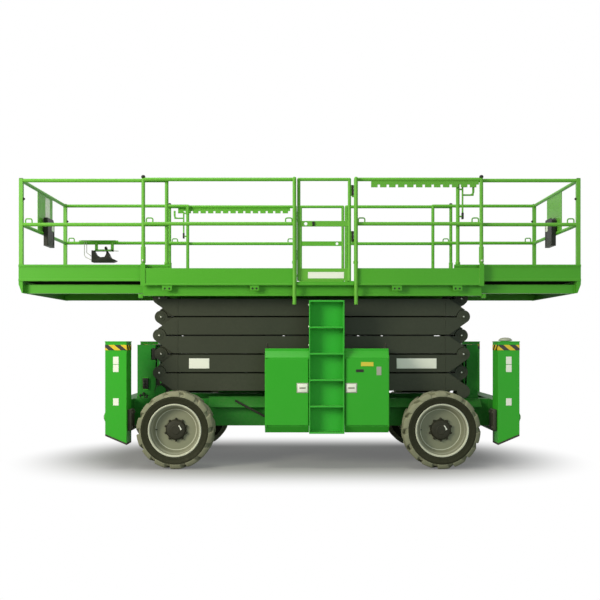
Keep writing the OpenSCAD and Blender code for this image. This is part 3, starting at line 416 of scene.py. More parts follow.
def spun(bm, profile, centre, axis, steps=64, closed=False):
    centre, axis = Vector(centre), Vector(axis)
    side = Vector((1, 0, 0)) if abs(axis.x) < 0.5 else Vector((0, 0, 1))
    verts = [bm.verts.new(centre + side * r + axis * h) for r, h in profile]
    pairs = list(zip(verts, verts[1:])) + ([(verts[-1], verts[0])] if closed else [])
    edges = [bm.edges.new(pair) for pair in pairs]
    bmesh.ops.spin(bm, geom=verts + edges, cent=centre, axis=axis, dvec=(0, 0, 0),
                   angle=2 * math.pi, steps=steps, use_merge=True, use_duplicate=False)
    bmesh.ops.remove_doubles(bm, verts=bm.verts, dist=0.00001)


def bentRod(bm, points, radius, sides=10):
    points = [Vector(p) for p in points]
    runs = [(b - a).normalized() for a, b in zip(points, points[1:])]
    heads = [runs[0]] + [(a + b).normalized() for a, b in zip(runs, runs[1:])] + [runs[-1]]
    turn = runs[0].to_track_quat("Z", "Y")
    ring = bmesh.ops.create_circle(bm, cap_ends=True, segments=sides, radius=radius,
                                   matrix=Matrix.Translation(points[0]) @ turn.to_matrix().to_4x4())["verts"]
    edges = list({edge for vert in ring for edge in vert.link_edges})
    for index in range(1, len(points)):
        grown = bmesh.ops.extrude_edge_only(bm, edges=edges)["geom"]
        ring = vertsOf(grown)
        edges = [part for part in grown if isinstance(part, bmesh.types.BMEdge)]
        step = heads[index - 1].rotation_difference(heads[index]).to_matrix().to_4x4()
        move = Matrix.Translation(points[index]) @ step @ Matrix.Translation(-points[index - 1])
        bmesh.ops.transform(bm, matrix=move, verts=ring)
    bmesh.ops.contextual_create(bm, geom=edges)


def arc(centre, radius, start, end, steps, plane="xz"):
    points = []
    for index in range(steps + 1):
        angle = math.radians(start + (end - start) * index / steps)
        a, b = radius * math.cos(angle), radius * math.sin(angle)
        shift = (a, 0, b) if plane == "xz" else (0, a, b)
        points.append(tuple(c + s for c, s in zip(centre, shift)))
    return points


def addPiece(name, bm, finishName, body, extra=(), sharp=35.0):
    bmesh.ops.recalc_face_normals(bm, faces=bm.faces)
    mesh = bpy.data.meshes.new(name)
    bm.to_mesh(mesh)
    bm.free()
    for label in (finishName,) + tuple(extra):
        mesh.materials.append(finishes[label])
    mesh.shade_smooth()
    mesh.set_sharp_from_angle(angle=math.radians(sharp))
    piece = bpy.data.objects.new(name, mesh)
    bpy.context.scene.collection.objects.link(piece)
    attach(piece, body)
    return piece


def boxPiece(name, finishName, body, slotName, *shape):
    bm = bmesh.new()
    softBox(bm, *shape)
    addPiece(name, bm, finishName, body)


sides = {"near": -1.0, "far": 1.0}
ends = {"front": -1.0, "rear": 1.0}
corners = [(end, side, "%s_%s" % (end, side)) for side in sides for end in ends]


# tyres: a moulded carcass with slanted lugs that run over the shoulder
tyre = {
    "front": -1.325, "rear": 1.509, "axleZ": 0.412, "middleY": 0.9875, "half": 0.1525,
    "outer": 0.412, "floor": 0.384, "bead": 0.2825, "grooves": 14, "grooveArc": 8.4, "slant": 68.0,
    "soft": 0.005, "sharpFrom": 0.45, "dustFrom": 0.357,
}


def roll(bm, verts, angle):
    bmesh.ops.rotate(bm, verts=verts, cent=(0, 0, 0), matrix=Matrix.Rotation(angle, 3, "Y"))


def addLugs(bm):
    pitch = 360.0 / tyre["grooves"]
    lugArc = math.radians(pitch - tyre["grooveArc"])
    half = tyre["half"]
    profile = [(0.374, 0.0), (0.4105, 0.004), (tyre["outer"], 0.018), (tyre["outer"], half - 0.034),
               (0.402, half - 0.018), (0.366, half + 0.0005), (0.356, half - 0.003), (0.372, half - 0.03)]
    made = []
    for way in (-1.0, 1.0):
        verts = [bm.verts.new((r, h * way, 0.0)) for r, h in profile]
        face = bm.faces.new(verts)
        bmesh.ops.spin(bm, geom=[face] + list(face.edges) + verts, cent=(0, 0, 0), axis=(0, 1, 0),
                       dvec=(0, 0, 0), angle=lugArc, steps=4, use_merge=False, use_duplicate=False)
        lug = set(verts)
        queue = list(verts)
        while queue:
            vert = queue.pop()
            for edge in vert.link_edges:
                other = edge.other_vert(vert)
                if other not in lug:
                    lug.add(other)
                    queue.append(other)
        for vert in lug:
            roll(bm, [vert], math.radians(tyre["slant"]) * abs(vert.co.y))
        roll(bm, list(lug), math.radians(way * pitch / 4))
        made += list(lug)
    faces = list({face for vert in made for face in vert.link_faces})
    bmesh.ops.recalc_face_normals(bm, faces=faces)
    for face in faces:
        face.material_index = 1
    rims = {edge for face in faces for edge in face.edges}
    sharpEdges = [edge for edge in rims if edge.calc_face_angle(0.0) > tyre["sharpFrom"]]
    bmesh.ops.bevel(bm, geom=sharpEdges, offset=tyre["soft"], affect="EDGES", segments=2, profile=0.5,
                    material=-1, clamp_overlap=True)
    first = list(bm.verts) + list(bm.edges) + list(bm.faces)
    for index in range(1, tyre["grooves"]):
        copy = bmesh.ops.duplicate(bm, geom=first)["geom"]
        roll(bm, vertsOf(copy), math.radians(index * pitch))


def addTyre(end, side, tag):
    bm = bmesh.new()
    addLugs(bm)
    half = tyre["half"]
    flank = [(tyre["bead"], half - 0.022), (0.288, half - 0.012), (0.300, half - 0.007),
             (0.304, half - 0.008), (0.318, half - 0.003), (0.336, half - 0.0015), (0.340, half + 0.0005),
             (0.347, half + 0.0005), (0.351, half - 0.002), (0.3595, half - 0.001), (0.371, half - 0.012),
             (tyre["floor"], half - 0.030)]
    loop = flank + [(r, -h) for r, h in reversed(flank)]
    spun(bm, loop, (0, 0, 0), (0, 1, 0), steps=96, closed=True)
    for face in bm.faces:
        if all(math.hypot(vert.co.x, vert.co.z) > tyre["dustFrom"] for vert in face.verts):
            face.material_index = 1
    if sides[side] > 0:
        bmesh.ops.scale(bm, vec=(1, -1, 1), verts=bm.verts)
    bmesh.ops.translate(bm, vec=(tyre[end], sides[side] * tyre["middleY"], tyre["axleZ"]), verts=bm.verts)
    piece = addPiece("tyreTread_" + tag, bm, "rubber", "wheel_" + tag, ("dustyRubber",))
    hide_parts("tyre_" + tag)


for corner in corners:
    addTyre(*corner)
print("tyres made")


# wheel faces: rolled lip and step ring painted lighter than the rim as highlights, dark hub with nuts, a pale
# painted glint on the hub, valve
wheelFace = {
    "lipY": 1.126, "discY": 1.010, "hubR": 0.111, "hubTop": 1.052, "nuts": 10, "nutR": 0.014, "studR": 0.008,
    "ring": [(0.2250, 1.0205), (0.2215, 1.0118), (0.2140, 1.0105), (0.2140, 1.0080), (0.2300, 1.0080)],
    "step": [(0.2595, 1.0835), (0.2560, 1.0850), (0.2435, 1.0695), (0.2405, 1.0600), (0.2450, 1.0590)],
    "plate": (0.045, 0.022), "glintHalf": (0.026, 0.0018, 0.010), "glintTurn": 58.0,
    "valve": ((0.205, 1.008), (0.212, 1.046)),
}


def addWheelFace(end, side, tag):
    sign = sides[side]
    axis = (0, sign, 0)
    centre = (tyre[end], 0, tyre["axleZ"])
    body = "wheel_" + tag
    lip, disc, hub, top = (wheelFace[key] for key in ("lipY", "discY", "hubR", "hubTop"))
    bm = bmesh.new()
    spun(bm, [(0.2835, lip - 0.016), (0.2838, lip + 0.001), (0.2805, lip + 0.006), (0.2725, lip + 0.0065),
              (0.2630, lip - 0.002), (0.2610, lip - 0.010), (0.2700, lip - 0.016)], centre, axis, 96, True)
    spun(bm, wheelFace["ring"], centre, axis, 72, True)
    addPiece("litRimLip_" + tag, bm, "litRimLip", body)
    bm = bmesh.new()
    spun(bm, wheelFace["step"], centre, axis, 96, True)
    addPiece("rimStep_" + tag, bm, "rimShade", body)
    bm = bmesh.new()
    spun(bm, [(0.0, top + 0.006), (0.046, top + 0.006), (0.052, top + 0.001), (0.094, top),
              (0.101, top - 0.005), (hub, disc + 0.012), (hub, disc - 0.002)], centre, axis, 60)
    closeHoles(bm)
    for index in range(wheelFace["nuts"]):
        angle = 2 * math.pi * (index + 0.5) / wheelFace["nuts"]
        x = centre[0] + (hub + 0.004) * math.cos(angle)
        z = centre[2] + (hub + 0.004) * math.sin(angle)
        bolt(bm, x, z, sign * (disc - 0.002), sign * (disc + 0.022), wheelFace["nutR"], 6, 0.002)
        bolt(bm, x, z, sign * (disc + 0.021), sign * (disc + 0.034), wheelFace["studR"], 10, 0.001)
    addPiece("hub_" + tag, bm, "hubDark", body)
    # a small pale plate tilted on the hub cap: a painted glint
    turn = Matrix.Rotation(math.radians(wheelFace["glintTurn"]), 4, "Y")
    across, up = wheelFace["plate"]
    spot = (centre[0] + across, sign * (top + 0.0015), centre[2] + up)
    shape = map(around, spot, wheelFace["glintHalf"])
    boxPiece("hubGlint_" + tag, "paleSheetAndGlint", body, "rim_grey", *shape, 0.001, 1, turn)
    bm = bmesh.new()
    foot, tip = [(centre[0] - r, sign * y, centre[2]) for r, y in wheelFace["valve"]]
    rod(bm, foot, tip, 0.006, 10, 0.005, 0.001)
    addPiece("valve_" + tag, bm, "blackPlasticAndShade", body)


for corner in corners:
    addWheelFace(*corner)
print("wheel faces made")


# jack housings: striped sleeves, bare sheets, side bolts, lids
jack = {
    "front": (-2.057, -1.831), "rear": (2.098, 2.324), "inner": 0.880, "outer": 1.140, "top": 1.350,
    "band": (1.262, 1.320), "bandProud": 0.0015, "bandThick": 0.0014,
    "sheets": ((1.115, 1.195), (1.032, 1.110), (0.678, 0.755)), "sheetHalf": 0.030, "sheetProud": 0.0012,
    "lidOver": 0.004, "lidTall": 0.008, "boss": 0.030, "boltZ": 0.546, "boltR": 0.026,
}


def addJackTrim(end, side, tag):
    sign, way = sides[side], ends[end]
    x0, x1 = jack[end]
    mid = (x0 + x1) / 2
    face = sign * jack["outer"]

    def wider(over):
        return (x0 - over, x1 + over), (sign * (jack["inner"] - over), sign * (jack["outer"] + over))

    bm = bmesh.new()
    box(bm, *wider(jack["bandProud"]), jack["band"])
    bmesh.ops.delete(bm, geom=[f for f in bm.faces if abs(f.normal.z) > 0.9], context="FACES_ONLY")
    bmesh.ops.recalc_face_normals(bm, faces=bm.faces)
    bmesh.ops.solidify(bm, geom=list(bm.faces), thickness=jack["bandThick"])
    addPiece("stripeSleeve_" + tag, bm, "hazard", "chassis", sharp=20.0)
    bm = bmesh.new()
    for zs in jack["sheets"]:
        softBox(bm, around(mid, jack["sheetHalf"]), around(face, jack["sheetProud"]), zs, 0.0006)
    addPiece("jackSheets_" + tag, bm, "paleSheetAndGlint", "chassis")
    lidZ = (jack["top"] - 0.002, jack["top"] + jack["lidTall"])
    boxPiece("jackLid_" + tag, "boxGreen", "chassis", "body_green", *wider(jack["lidOver"]), lidZ, 0.003, 2)
    bm = bmesh.new()
    bossX = (x0 if way < 0 else x1) + way * jack["boss"]
    middle = sign * (jack["inner"] + jack["outer"]) / 2
    rod(bm, (bossX - way * 0.002, middle, jack["boltZ"]), (bossX + way * 0.012, middle, jack["boltZ"]),
        jack["boltR"], 6, soft=0.003)
    addPiece("jackBolts_" + tag, bm, "boltSteel", "chassis")


for corner in corners:
    addJackTrim(*corner)
bracket = {"thick": 0.044, "y": (0.905, 1.095), "z": (0.405, 0.632), "soft": 0.014, "boltR": 0.014}


def addJackBracket(end, side, tag):
    sign, way = sides[side], -ends[end]
    face = jack[end][1] if way > 0 else jack[end][0]
    reach = face + way * bracket["thick"]
    y0, y1 = sorted(sign * v for v in bracket["y"])
    z0, z1 = bracket["z"]
    bm = bmesh.new()
    softBox(bm, (face - way * 0.001, reach), (y0, y1), (z0, z1), bracket["soft"], 3)
    for y in (y0 + 0.030, y1 - 0.030):
        for z in (z0 + 0.035, z1 - 0.035):
            rod(bm, (reach - way * 0.002, y, z), (reach + way * 0.010, y, z), bracket["boltR"], 6, soft=0.002)
    addPiece("jackBracket_" + tag, bm, "darkSteel", "chassis")


for corner in corners:
    addJackBracket(*corner)
dome = {
    "place": (2.205, -1.01, 0.0),
    "profile": [(0.0, 1.398), (0.030, 1.396), (0.055, 1.388), (0.070, 1.374), (0.074, 1.364), (0.050, 1.360),
                (0.045, 1.356)],
}
bm = bmesh.new()
spun(bm, dome["profile"], dome["place"], (0, 0, 1), 32)
closeHoles(bm)
addPiece("jackDome", bm, "greySheet", "chassis")
print("jack trim made")


# scissor arms: bare sheets, pin bolts, weld beads and rest pads
arm = {
    "left": -1.562, "right": 1.822, "baseZ": 0.800, "pitch": 0.208, "inner": 0.438, "outer": 0.560,
    "width": 0.110, "split": 0.6, "headR": 0.027, "midHeadR": 0.024, "boltR": 0.010,
    "sheets": ((-1.231, -1.005), (1.077, 1.521)), "sheetZ": (1.055, 1.168), "bead": 0.205,
    "pads": ((-1.300, -0.388), (0.092, 0.518), (1.122, 1.500)), "padZ": (1.4155, 1.4290),
    "shims": ((-0.400, -0.190), (-0.170, 0.100), (0.510, 0.640), (0.665, 0.905), (0.930, 1.130)),
    "shimZ": (1.4155, 1.4225), "padY": (0.60, 0.63),
}


def armOuter(level, rising):
    inner = (level % 2 == 1) == rising
    return (arm["inner"] if inner else arm["outer"]) + arm["width"]


def addArmTrim(level, rising):
    label = "%s_%d" % ("rising" if rising else "falling", level)
    outY = armOuter(level, rising)
    pinX = arm["right"] if rising else arm["left"]
    pinZ = arm["baseZ"] + level * arm["pitch"]
    midX, midZ = (arm["left"] + arm["right"]) / 2, arm["baseZ"] + (level - 0.5) * arm["pitch"]
    isOuter = outY > arm["split"]
    proud = 0.006 if isOuter else 0.004
    midY = arm["outer"] + arm["width"]
    heads, dots = bmesh.new(), bmesh.new()
    for sign in (-1.0, 1.0):
        a, b = sign * (outY + 0.002), sign * (outY + 0.004 + proud)
        bolt(heads, pinX, pinZ, a, b - sign * 0.002, arm["headR"], 24, 0.001)
        bolt(dots, pinX, pinZ, a, b, arm["boltR"], 6, 0.001)
        if not isOuter:
            bolt(heads, midX, midZ, sign * midY, sign * (midY + 0.008), arm["midHeadR"], 24, 0.001)
            bolt(dots, midX, midZ, sign * (midY + 0.002), sign * (midY + 0.010), arm["boltR"], 6, 0.001)
    addPiece("pinHeads_" + label, heads, "armBlack", label)
    addPiece("pinBolts_" + label, dots, "boltSteel", label)
    if not isOuter:
        return
    bm = bmesh.new()
    beadZ = around(midZ, arm["pitch"] / 2 - 0.012)
    for sign in (-1.0, 1.0):
        for x in (arm["left"] + arm["bead"], arm["right"] - arm["bead"]):
            upright(bm, x, sign * outY, beadZ, 0.004, 8)
    addPiece("weldBeads_" + label, bm, "armBlack", label)


for level in range(1, 6):
    for rising in (True, False):
        addArmTrim(level, rising)

bm = bmesh.new()
for sign in (-1.0, 1.0):
    ys = around(sign * (arm["outer"] + arm["width"]), 0.0012)
    for xs in arm["sheets"]:
        softBox(bm, xs, ys, arm["sheetZ"], 0.0008)
addPiece("armSheets", bm, "paleSheetAndGlint", "rising_2")
bm = bmesh.new()
for sign in (-1.0, 1.0):
    ys = [sign * v for v in arm["padY"]]
    for spans, levels, soft in (("pads", "padZ", 0.003), ("shims", "shimZ", 0.001)):
        for xs in arm[spans]:
            softBox(bm, xs, ys, arm[levels], soft)
addPiece("restPads", bm, "blackPlasticAndShade", "falling_3")
print("arm trim made")


# doors: latch plates, bare sheets, a small display
door = {
    "face": 1.0524, "latch": {"front": (-0.027, 0.086), "rear": (0.496, 0.607)}, "latchZ": (0.812, 0.907),
    "sheet": ((0.654, 1.091), (0.788, 1.136)), "display": ((0.600, 1.027), (0.684, 1.058)),
    "plate": ((0.820, 0.995), (0.872, 1.087)),
}


def addDoorTrim(end, side, tag):
    sign = sides[side]
    face = sign * door["face"]
    body = "door_" + tag
    x0, x1 = door["latch"][end]
    z0, z1 = door["latchZ"]
    midX, midZ = (x0 + x1) / 2, (z0 + z1) / 2
    for name, look, over, proud in (("latchFrame_", "greySheet", 0.006, 0.002),
                                    ("latchPlate_", "paleSheetAndGlint", -0.004, 0.003)):
        boxPiece(name + tag, look, body, "rim_grey", (x0 - over, x1 + over), around(face, proud),
                 (z0 - over, z1 + over), 0.0012, 2)
    bm = bmesh.new()
    softBox(bm, around(midX, 0.034), (face, face + sign * 0.006), around(midZ, 0.010), 0.002, 2)
    bolt(bm, midX - 0.020, midZ, face, face + sign * 0.009, 0.007, 12, 0.001)
    addPiece("latchHandle_" + tag, bm, "greySheet", body)
    if end == "rear":
        for name, key, proud, soft, look, slotName in (
                ("doorSheet_", "sheet", 0.0012, 0.0008, "yellowSheet", "rim_grey"),
                ("doorDisplay_", "display", 0.002, 0.0012, "blackPlasticAndShade", "black_plastic"),
                ("doorPlate_", "plate", 0.0012, 0.0008, "greySheet", "rim_grey")):
            xs, zs = zip(*door[key])
            boxPiece(name + tag, look, body, slotName, xs, around(face, proud), zs, soft)


for corner in corners:
    addDoorTrim(*corner)
print("door trim made")


# towers and frame: dark sheets painted as the shade in the pin recesses, valve blocks, fittings and a
# slanting hose strut
frameTrim = {
    "towerY": 0.430, "pocketShade": ((-1.684, -1.642), (1.150, 1.280)),
    "valve": ((-1.786, -1.722), (0.815, 0.940)), "ports": (0.030, 0.062, 0.094),
    "fittings": ((-1.812, 0.745), (-1.776, 0.765), (-1.738, 0.735)), "beamY": 0.650,
    "strut": ((-0.720, 0.700), (-0.700, 0.688), (-0.400, 0.526), (-0.380, 0.520)), "strutR": 0.013,
}


def addFrameTrim(side):
    sign = sides[side]
    y = sign * frameTrim["towerY"]
    bm = bmesh.new()
    # a thin dark sheet on the tower face: painted shade standing for the recess
    xs, zs = frameTrim["pocketShade"]
    softBox(bm, xs, (y, y + sign * 0.004), zs, 0.001)
    xs, zs = frameTrim["valve"]
    softBox(bm, xs, (y, y + sign * 0.030), zs, 0.003, 2)
    for shift in frameTrim["ports"]:
        bolt(bm, xs[0] + 0.020, zs[0] + shift, y + sign * 0.028, y + sign * 0.048, 0.011, 6, 0.0015)
    for x, z in frameTrim["fittings"]:
        out = y + sign * 0.024
        bolt(bm, x, z, y, y + sign * 0.034, 0.014, 6, 0.002)
        points = [(x, out, z), (x + 0.010, out, z - 0.040), (x + 0.050, y + sign * 0.022, z - 0.062)]
        bentRod(bm, points, 0.009, 8)
    addPiece("towerTrim_" + side, bm, "blackPlasticAndShade", "chassis")
    bm = bmesh.new()
    bentRod(bm, [(x, sign * frameTrim["beamY"], z) for x, z in frameTrim["strut"]], frameTrim["strutR"], 10)
    addPiece("frameHose_" + side, bm, "blackPlasticAndShade", "chassis")


for side in sides:
    addFrameTrim(side)
print("frame trim made")


# cabinet tops and ladders: rods, lifting rings, step studs and bolts
cabinet = {"rodX": (-0.352, 0.928), "rodY": 0.930, "rodZ": (1.276, 1.338), "ringZ": (1.279, 1.288)}
ladder = {
    "x": (0.101, 0.476), "front": 1.080, "low": 0.388, "top": 1.794, "steps": 6, "studs": 12,
    "studRows": (0.018, 0.048, 0.078), "boltY": 1.050, "boltZ": (1.744, 1.514, 1.316),
}


def addCabinetTops(side):
    y = sides[side] * cabinet["rodY"]
    bm = bmesh.new()
    for x in cabinet["rodX"]:
        for span, radius, count, soft in (("rodZ", 0.011, 14, 0.003), ("ringZ", 0.024, 18, 0.002)):
            upright(bm, x, y, cabinet[span], radius, count, soft)
    addPiece("cabinetRods_" + side, bm, "darkSteel", "chassis")


def addLadderTrim(side):
    sign = sides[side]
    bm = bmesh.new()
    rise = (ladder["top"] - ladder["low"]) / (ladder["steps"] - 1)
    x0, x1 = ladder["x"]
    for step in range(ladder["steps"]):
        z = ladder["low"] + step * rise
        for row, inset in enumerate(ladder["studRows"]):
            y = ladder["front"] - inset
            for index in range(ladder["studs"]):
                x = x0 + 0.030 + (index + 0.25 * (row % 2)) * (x1 - x0 - 0.068) / (ladder["studs"] - 1)
                rod(bm, (x, sign * y, z - 0.001), (x, sign * y, z + 0.003), 0.009, 8, 0.006)
    addPiece("stepStuds_" + side, bm, "ladderLitGreen", "chassis")
    bm = bmesh.new()
    y = sign * ladder["boltY"]
    for z in ladder["boltZ"]:
        rod(bm, (x0 + 0.001, y, z), (x0 - 0.010, y, z), 0.012, 14, soft=0.003)
    addPiece("ladderBolts_" + side, bm, "boltSteel", "chassis")


for side in sides:
    addCabinetTops(side)
    addLadderTrim(side)
print("cabinet and ladder trim made")


# guard rails: tie-off loops, foot collars, post knobs, sleeve bolts and end caps
rail = {
    "mainY": 0.942, "extY": 0.878, "midZ": 2.627, "topZ": 3.106, "radius": 0.020,
    "posts": (-1.690, 1.962), "loops": (-1.622, -0.118, 0.668, 1.896), "endLoops": 2.947, "endX": 3.0275,
    "gatePosts": (-0.057, 0.605), "mainFoot": 2.196,
    "extPosts": {"front": (-1.447,), "rear": (1.719,)}, "extFoot": 2.191,
    "loopHalf": 0.035, "loopTall": 0.043, "loopRod": 0.0075, "loopBend": 0.018,
    "collarR": 0.026, "collarTall": 0.030, "sleeveZ": 2.228, "capZ": (3.122, 3.131), "capHalf": 0.0195,
    "catchZ": 2.906,
}


def addLoop(bm, x, y):
    half, tall, z = rail["loopHalf"], rail["loopTall"], rail["midZ"] + rail["radius"]
    bend = rail["loopBend"]
    points = [(x - half, y, z - 0.006)]
    points += arc((x - half + bend, y, z + tall - bend), bend, 180, 90, 4)
    points += arc((x + half - bend, y, z + tall - bend), bend, 90, 0, 4)
    points += [(x + half, y, z - 0.006)]
    bentRod(bm, points, rail["loopRod"])


def addCollar(bm, x, y, sign, z):
    radius, tall = rail["collarR"], rail["collarTall"]
    middle = z + tall / 2
    upright(bm, x, y, (z, z + tall), radius, 20, 0.003)
    bolt(bm, x, middle, y - sign * radius, y + sign * (radius + 0.004), 0.006, 8, 0.001)


def addRailTrim(side):
    sign = sides[side]
    y = sign * rail["mainY"]
    bm = bmesh.new()
    for x in rail["loops"]:
        addLoop(bm, x, y)
    for x in rail["gatePosts"]:
        addCollar(bm, x, y, sign, rail["mainFoot"])
    addPiece("railLoops_" + side, bm, "railLitGreen", "platform")
    bm = bmesh.new()
    for x in rail["posts"]:
        spun(bm, [(0.0, 0.030), (0.010, 0.029), (0.018, 0.024), (0.0225, 0.015), (0.0225, 0.004),
                  (0.0205, 0.0)], (x, y, rail["topZ"] + rail["radius"] - 0.002), (0, 0, 1), 24)
    closeHoles(bm)
    addPiece("postKnobs_" + side, bm, "blackPlasticAndShade", "platform")
    bm = bmesh.new()
    for x in rail["posts"]:
        bolt(bm, x, rail["sleeveZ"], y - sign * 0.030, y + sign * 0.034, 0.007, 10, 0.001)
        bolt(bm, x, rail["sleeveZ"], y + sign * 0.024, y + sign * 0.031, 0.012, 6, 0.001)
    addPiece("sleeveBolts_" + side, bm, "boltSteel", "platform")
    for end, way in ends.items():
        body = "extension_" + end
        ey = sign * rail["extY"]
        bm = bmesh.new()
        addLoop(bm, way * rail["endLoops"], ey)
        for x in rail["extPosts"][end]:
            addCollar(bm, x, ey, sign, rail["extFoot"])
        addPiece("endLoops_%s_%s" % (end, side), bm, "railLitGreen", body)
        bm = bmesh.new()
        x, half, z = way * rail["endX"], rail["capHalf"], rail["catchZ"]
        softBox(bm, around(x, half), around(ey, half), rail["capZ"], 0.003, 2)
        x = way * (rail["endX"] - 0.021)
        rod(bm, (x, ey, z), (x - way * 0.012, ey, z), 0.015, 14, soft=0.003)
        rod(bm, (x - way * 0.010, ey, z), (x - way * 0.020, ey, z), 0.009, 12, 0.006, 0.002)
        addPiece("endCap_%s_%s" % (end, side), bm, "blackPlasticAndShade", body)


for side in sides:
    addRailTrim(side)
print("rail trim made")


# lock levers: black grips and bent bars on the extensions' levers
lever = {
    "front": (-1.492, 0.878), "rear": (1.764, -0.878), "gripZ": (2.690, 2.756), "gripHalf": (0.011, 0.018),
    "shift": 0.007, "barR": 0.0095, "barTop": 3.032, "bendZ": 2.990, "bendR": 0.042, "reach": 0.120,
    "tipZ": 3.044,
}


def addLeverGrip(end):
    x, y = lever[end]
    way = ends[end]
    middle = x + way * lever["shift"]
    (low, top), (halfX, halfY) = lever["gripZ"], lever["gripHalf"]
    boxPiece("leverGrip_" + end, "blackPlasticAndShade", "extension_" + end, "black_plastic",
             around(middle, halfX), around(y, halfY), (low - 0.004, top), 0.004, 2)
    bm = bmesh.new()
    upright(bm, middle, y, (top - 0.004, lever["barTop"]), lever["barR"], 14, 0.003)
    bendZ, bendR, reach = lever["bendZ"], lever["bendR"], lever["reach"]
    turn = arc((middle + way * (reach - bendR), y, bendZ), bendR, -90, -90 + way * 90, 8)
    points = [(middle, y, bendZ - bendR)] + turn + [(middle + way * reach, y, lever["tipZ"])]
    bentRod(bm, points, lever["barR"], 14)
    addPiece("leverBar_" + end, bm, "railLitGreen", "extension_" + end)


for end in ends:
    addLeverGrip(end)


# gates: hinge leaves, latch, bare sheet on the toe board
gate = {
    "near": {"hinge": 0.571, "sheet": (0.089, 0.478), "latch": 0.148},
    "far": {"hinge": -0.023, "sheet": (0.070, 0.459), "latch": 0.400},
    "hingeZ": (2.490, 2.987), "sheetZ": (2.036, 2.106), "y": 0.942, "faceOut": 0.006,
    "barrelHalf": 0.0575, "barrelR": 0.0122, "knuckles": (-0.042, 0.0, 0.042), "knuckleHalf": 0.014,
    "knuckleR": 0.0132, "latchZ": (2.604, 2.650), "latchHalf": 0.013,
}


def addGateTrim(side):
    y = sides[side] * gate["y"]
    sign, face = sides[side], sides[side] * (gate["y"] + gate["faceOut"])
    body = "gate_" + side
    boxPiece("gateSheet_" + side, "paleSheetAndGlint", body, "rim_grey",
             gate[side]["sheet"], around(face, 0.001), gate["sheetZ"], 0.0006)
    bm = bmesh.new()
    x = gate[side]["hinge"]
    for z in gate["hingeZ"]:
        upright(bm, x, y, around(z, gate["barrelHalf"]), gate["barrelR"], 18, 0.002)
        for shift in gate["knuckles"]:
            upright(bm, x, y, around(z + shift, gate["knuckleHalf"]), gate["knuckleR"], 18, 0.0015)
    x, zs = gate[side]["latch"], gate["latchZ"]
    softBox(bm, around(x, gate["latchHalf"]), (face - sign * 0.002, face + sign * 0.012), zs, 0.003, 2)
    bolt(bm, x, sum(zs) / 2, face, face + sign * 0.022, 0.007, 12, 0.002)
    addPiece("gateHinge_" + side, bm, "blackPlasticAndShade", body)


for side in sides:
    addGateTrim(side)
print("gate trim made")


# toe boards and side beams: clips with dark discs painted as the shade in their holes, feet
deck = {
    "fasciaY": 0.9775, "clips": ((-1.482, -1.375), (-0.535, -0.438), (0.993, 1.101), (1.650, 1.752)),
    "clipZ": (1.903, 1.966), "clipIn": (0.010, 0.003), "holes": (0.28, 0.72), "holeZ": 1.926, "holeR": 0.011,
    "feet": ((-1.752, -1.700), (1.972, 2.022)), "footY": (0.850, 0.900), "footZ": (1.827, 1.871),
}


def addDeckTrim(side):
    sign = sides[side]
    bm = bmesh.new()
    ys = [sign * (deck["fasciaY"] - v) for v in deck["clipIn"]]
    for xs in deck["clips"]:
        softBox(bm, xs, ys, deck["clipZ"])
    for xs in deck["feet"]:
        softBox(bm, xs, [sign * v for v in deck["footY"]], deck["footZ"], 0.005, 2)
    addPiece("deckClips_" + side, bm, "deckGreen", "platform")
    # dark discs on the clips: painted shade where the holes are
    bm = bmesh.new()
    for x0, x1 in deck["clips"]:
        for share in deck["holes"]:
            x = x0 + share * (x1 - x0)
            bolt(bm, x, deck["holeZ"], ys[1] - sign * 0.009, ys[1] + sign * 0.0006, deck["holeR"], 18)
    addPiece("clipHoleShade_" + side, bm, "blackPlasticAndShade", "platform")


for side in sides:
    addDeckTrim(side)
print("deck trim made")


# tread plate: raised lozenges, turned each way in turn
treadPlate = {
    "pitch": 0.058, "long": 0.019, "short": 0.0065, "tall": 0.0024, "taper": 0.62, "sunk": 0.0004,
    "turn": 45.0,
    "areas": {"mainTread": ("platform", (-1.69, -0.80), (1.96, 0.80), 2.000),
              "frontTread": ("extension_front", (-2.99, -0.84), (-1.41, 0.84), 2.030),
              "rearTread": ("extension_rear", (1.68, -0.84), (2.99, 0.84), 2.030)},
}


def addTreadPlate(name, body, low, high, level):
    pitch, tall = treadPlate["pitch"], treadPlate["tall"]
    columns = int((high[0] - low[0]) / pitch)
    rows = int((high[1] - low[1]) / pitch / 2) * 2
    start = [(l + h - pitch * (n - 1)) / 2 for l, h, n in zip(low, high, (columns, rows))]
    middle = level + tall / 2 - treadPlate["sunk"]
    size = Matrix.Diagonal((treadPlate["long"], treadPlate["short"], 1.0, 1.0))
    bm = bmesh.new()
    for column in range(columns):
        for row in (0, 1):
            angle = treadPlate["turn"] * (1 if (column + row) % 2 else -1)
            turn = Matrix.Rotation(math.radians(angle), 4, "Z")
            place = Matrix.Translation((start[0] + column * pitch, start[1] + row * pitch, middle))
            bmesh.ops.create_cone(bm, cap_ends=True, segments=8, radius1=1.0, radius2=treadPlate["taper"],
                                  depth=tall, matrix=place @ turn @ size)
    first = list(bm.verts) + list(bm.edges) + list(bm.faces)
    for step in range(1, rows // 2):
        copy = bmesh.ops.duplicate(bm, geom=first)["geom"]
        bmesh.ops.translate(bm, vec=(0, 2 * pitch * step, 0), verts=vertsOf(copy))
    addPiece(name, bm, "treadGreen", body)


for name, area in treadPlate["areas"].items():
    addTreadPlate(name, *area)
print("tread plate made")


# extension ends: document boxes with a bare sheet and a pale painted reflection on the front end panel, dark
# sheets painted as the shade in the deck gaps
papers = {
    "panel": 3.0235, "face": 3.0072, "depth": 0.048, "half": 0.136, "rib": 0.010, "frameZ": (2.482, 2.502),
    "postZ": (2.486, 2.770), "sheetY": (0.035, 0.118), "sheetZ": (2.672, 2.738),
    "glareY": (-0.010, 0.170), "glareZ": (2.8218, 3.070),
}


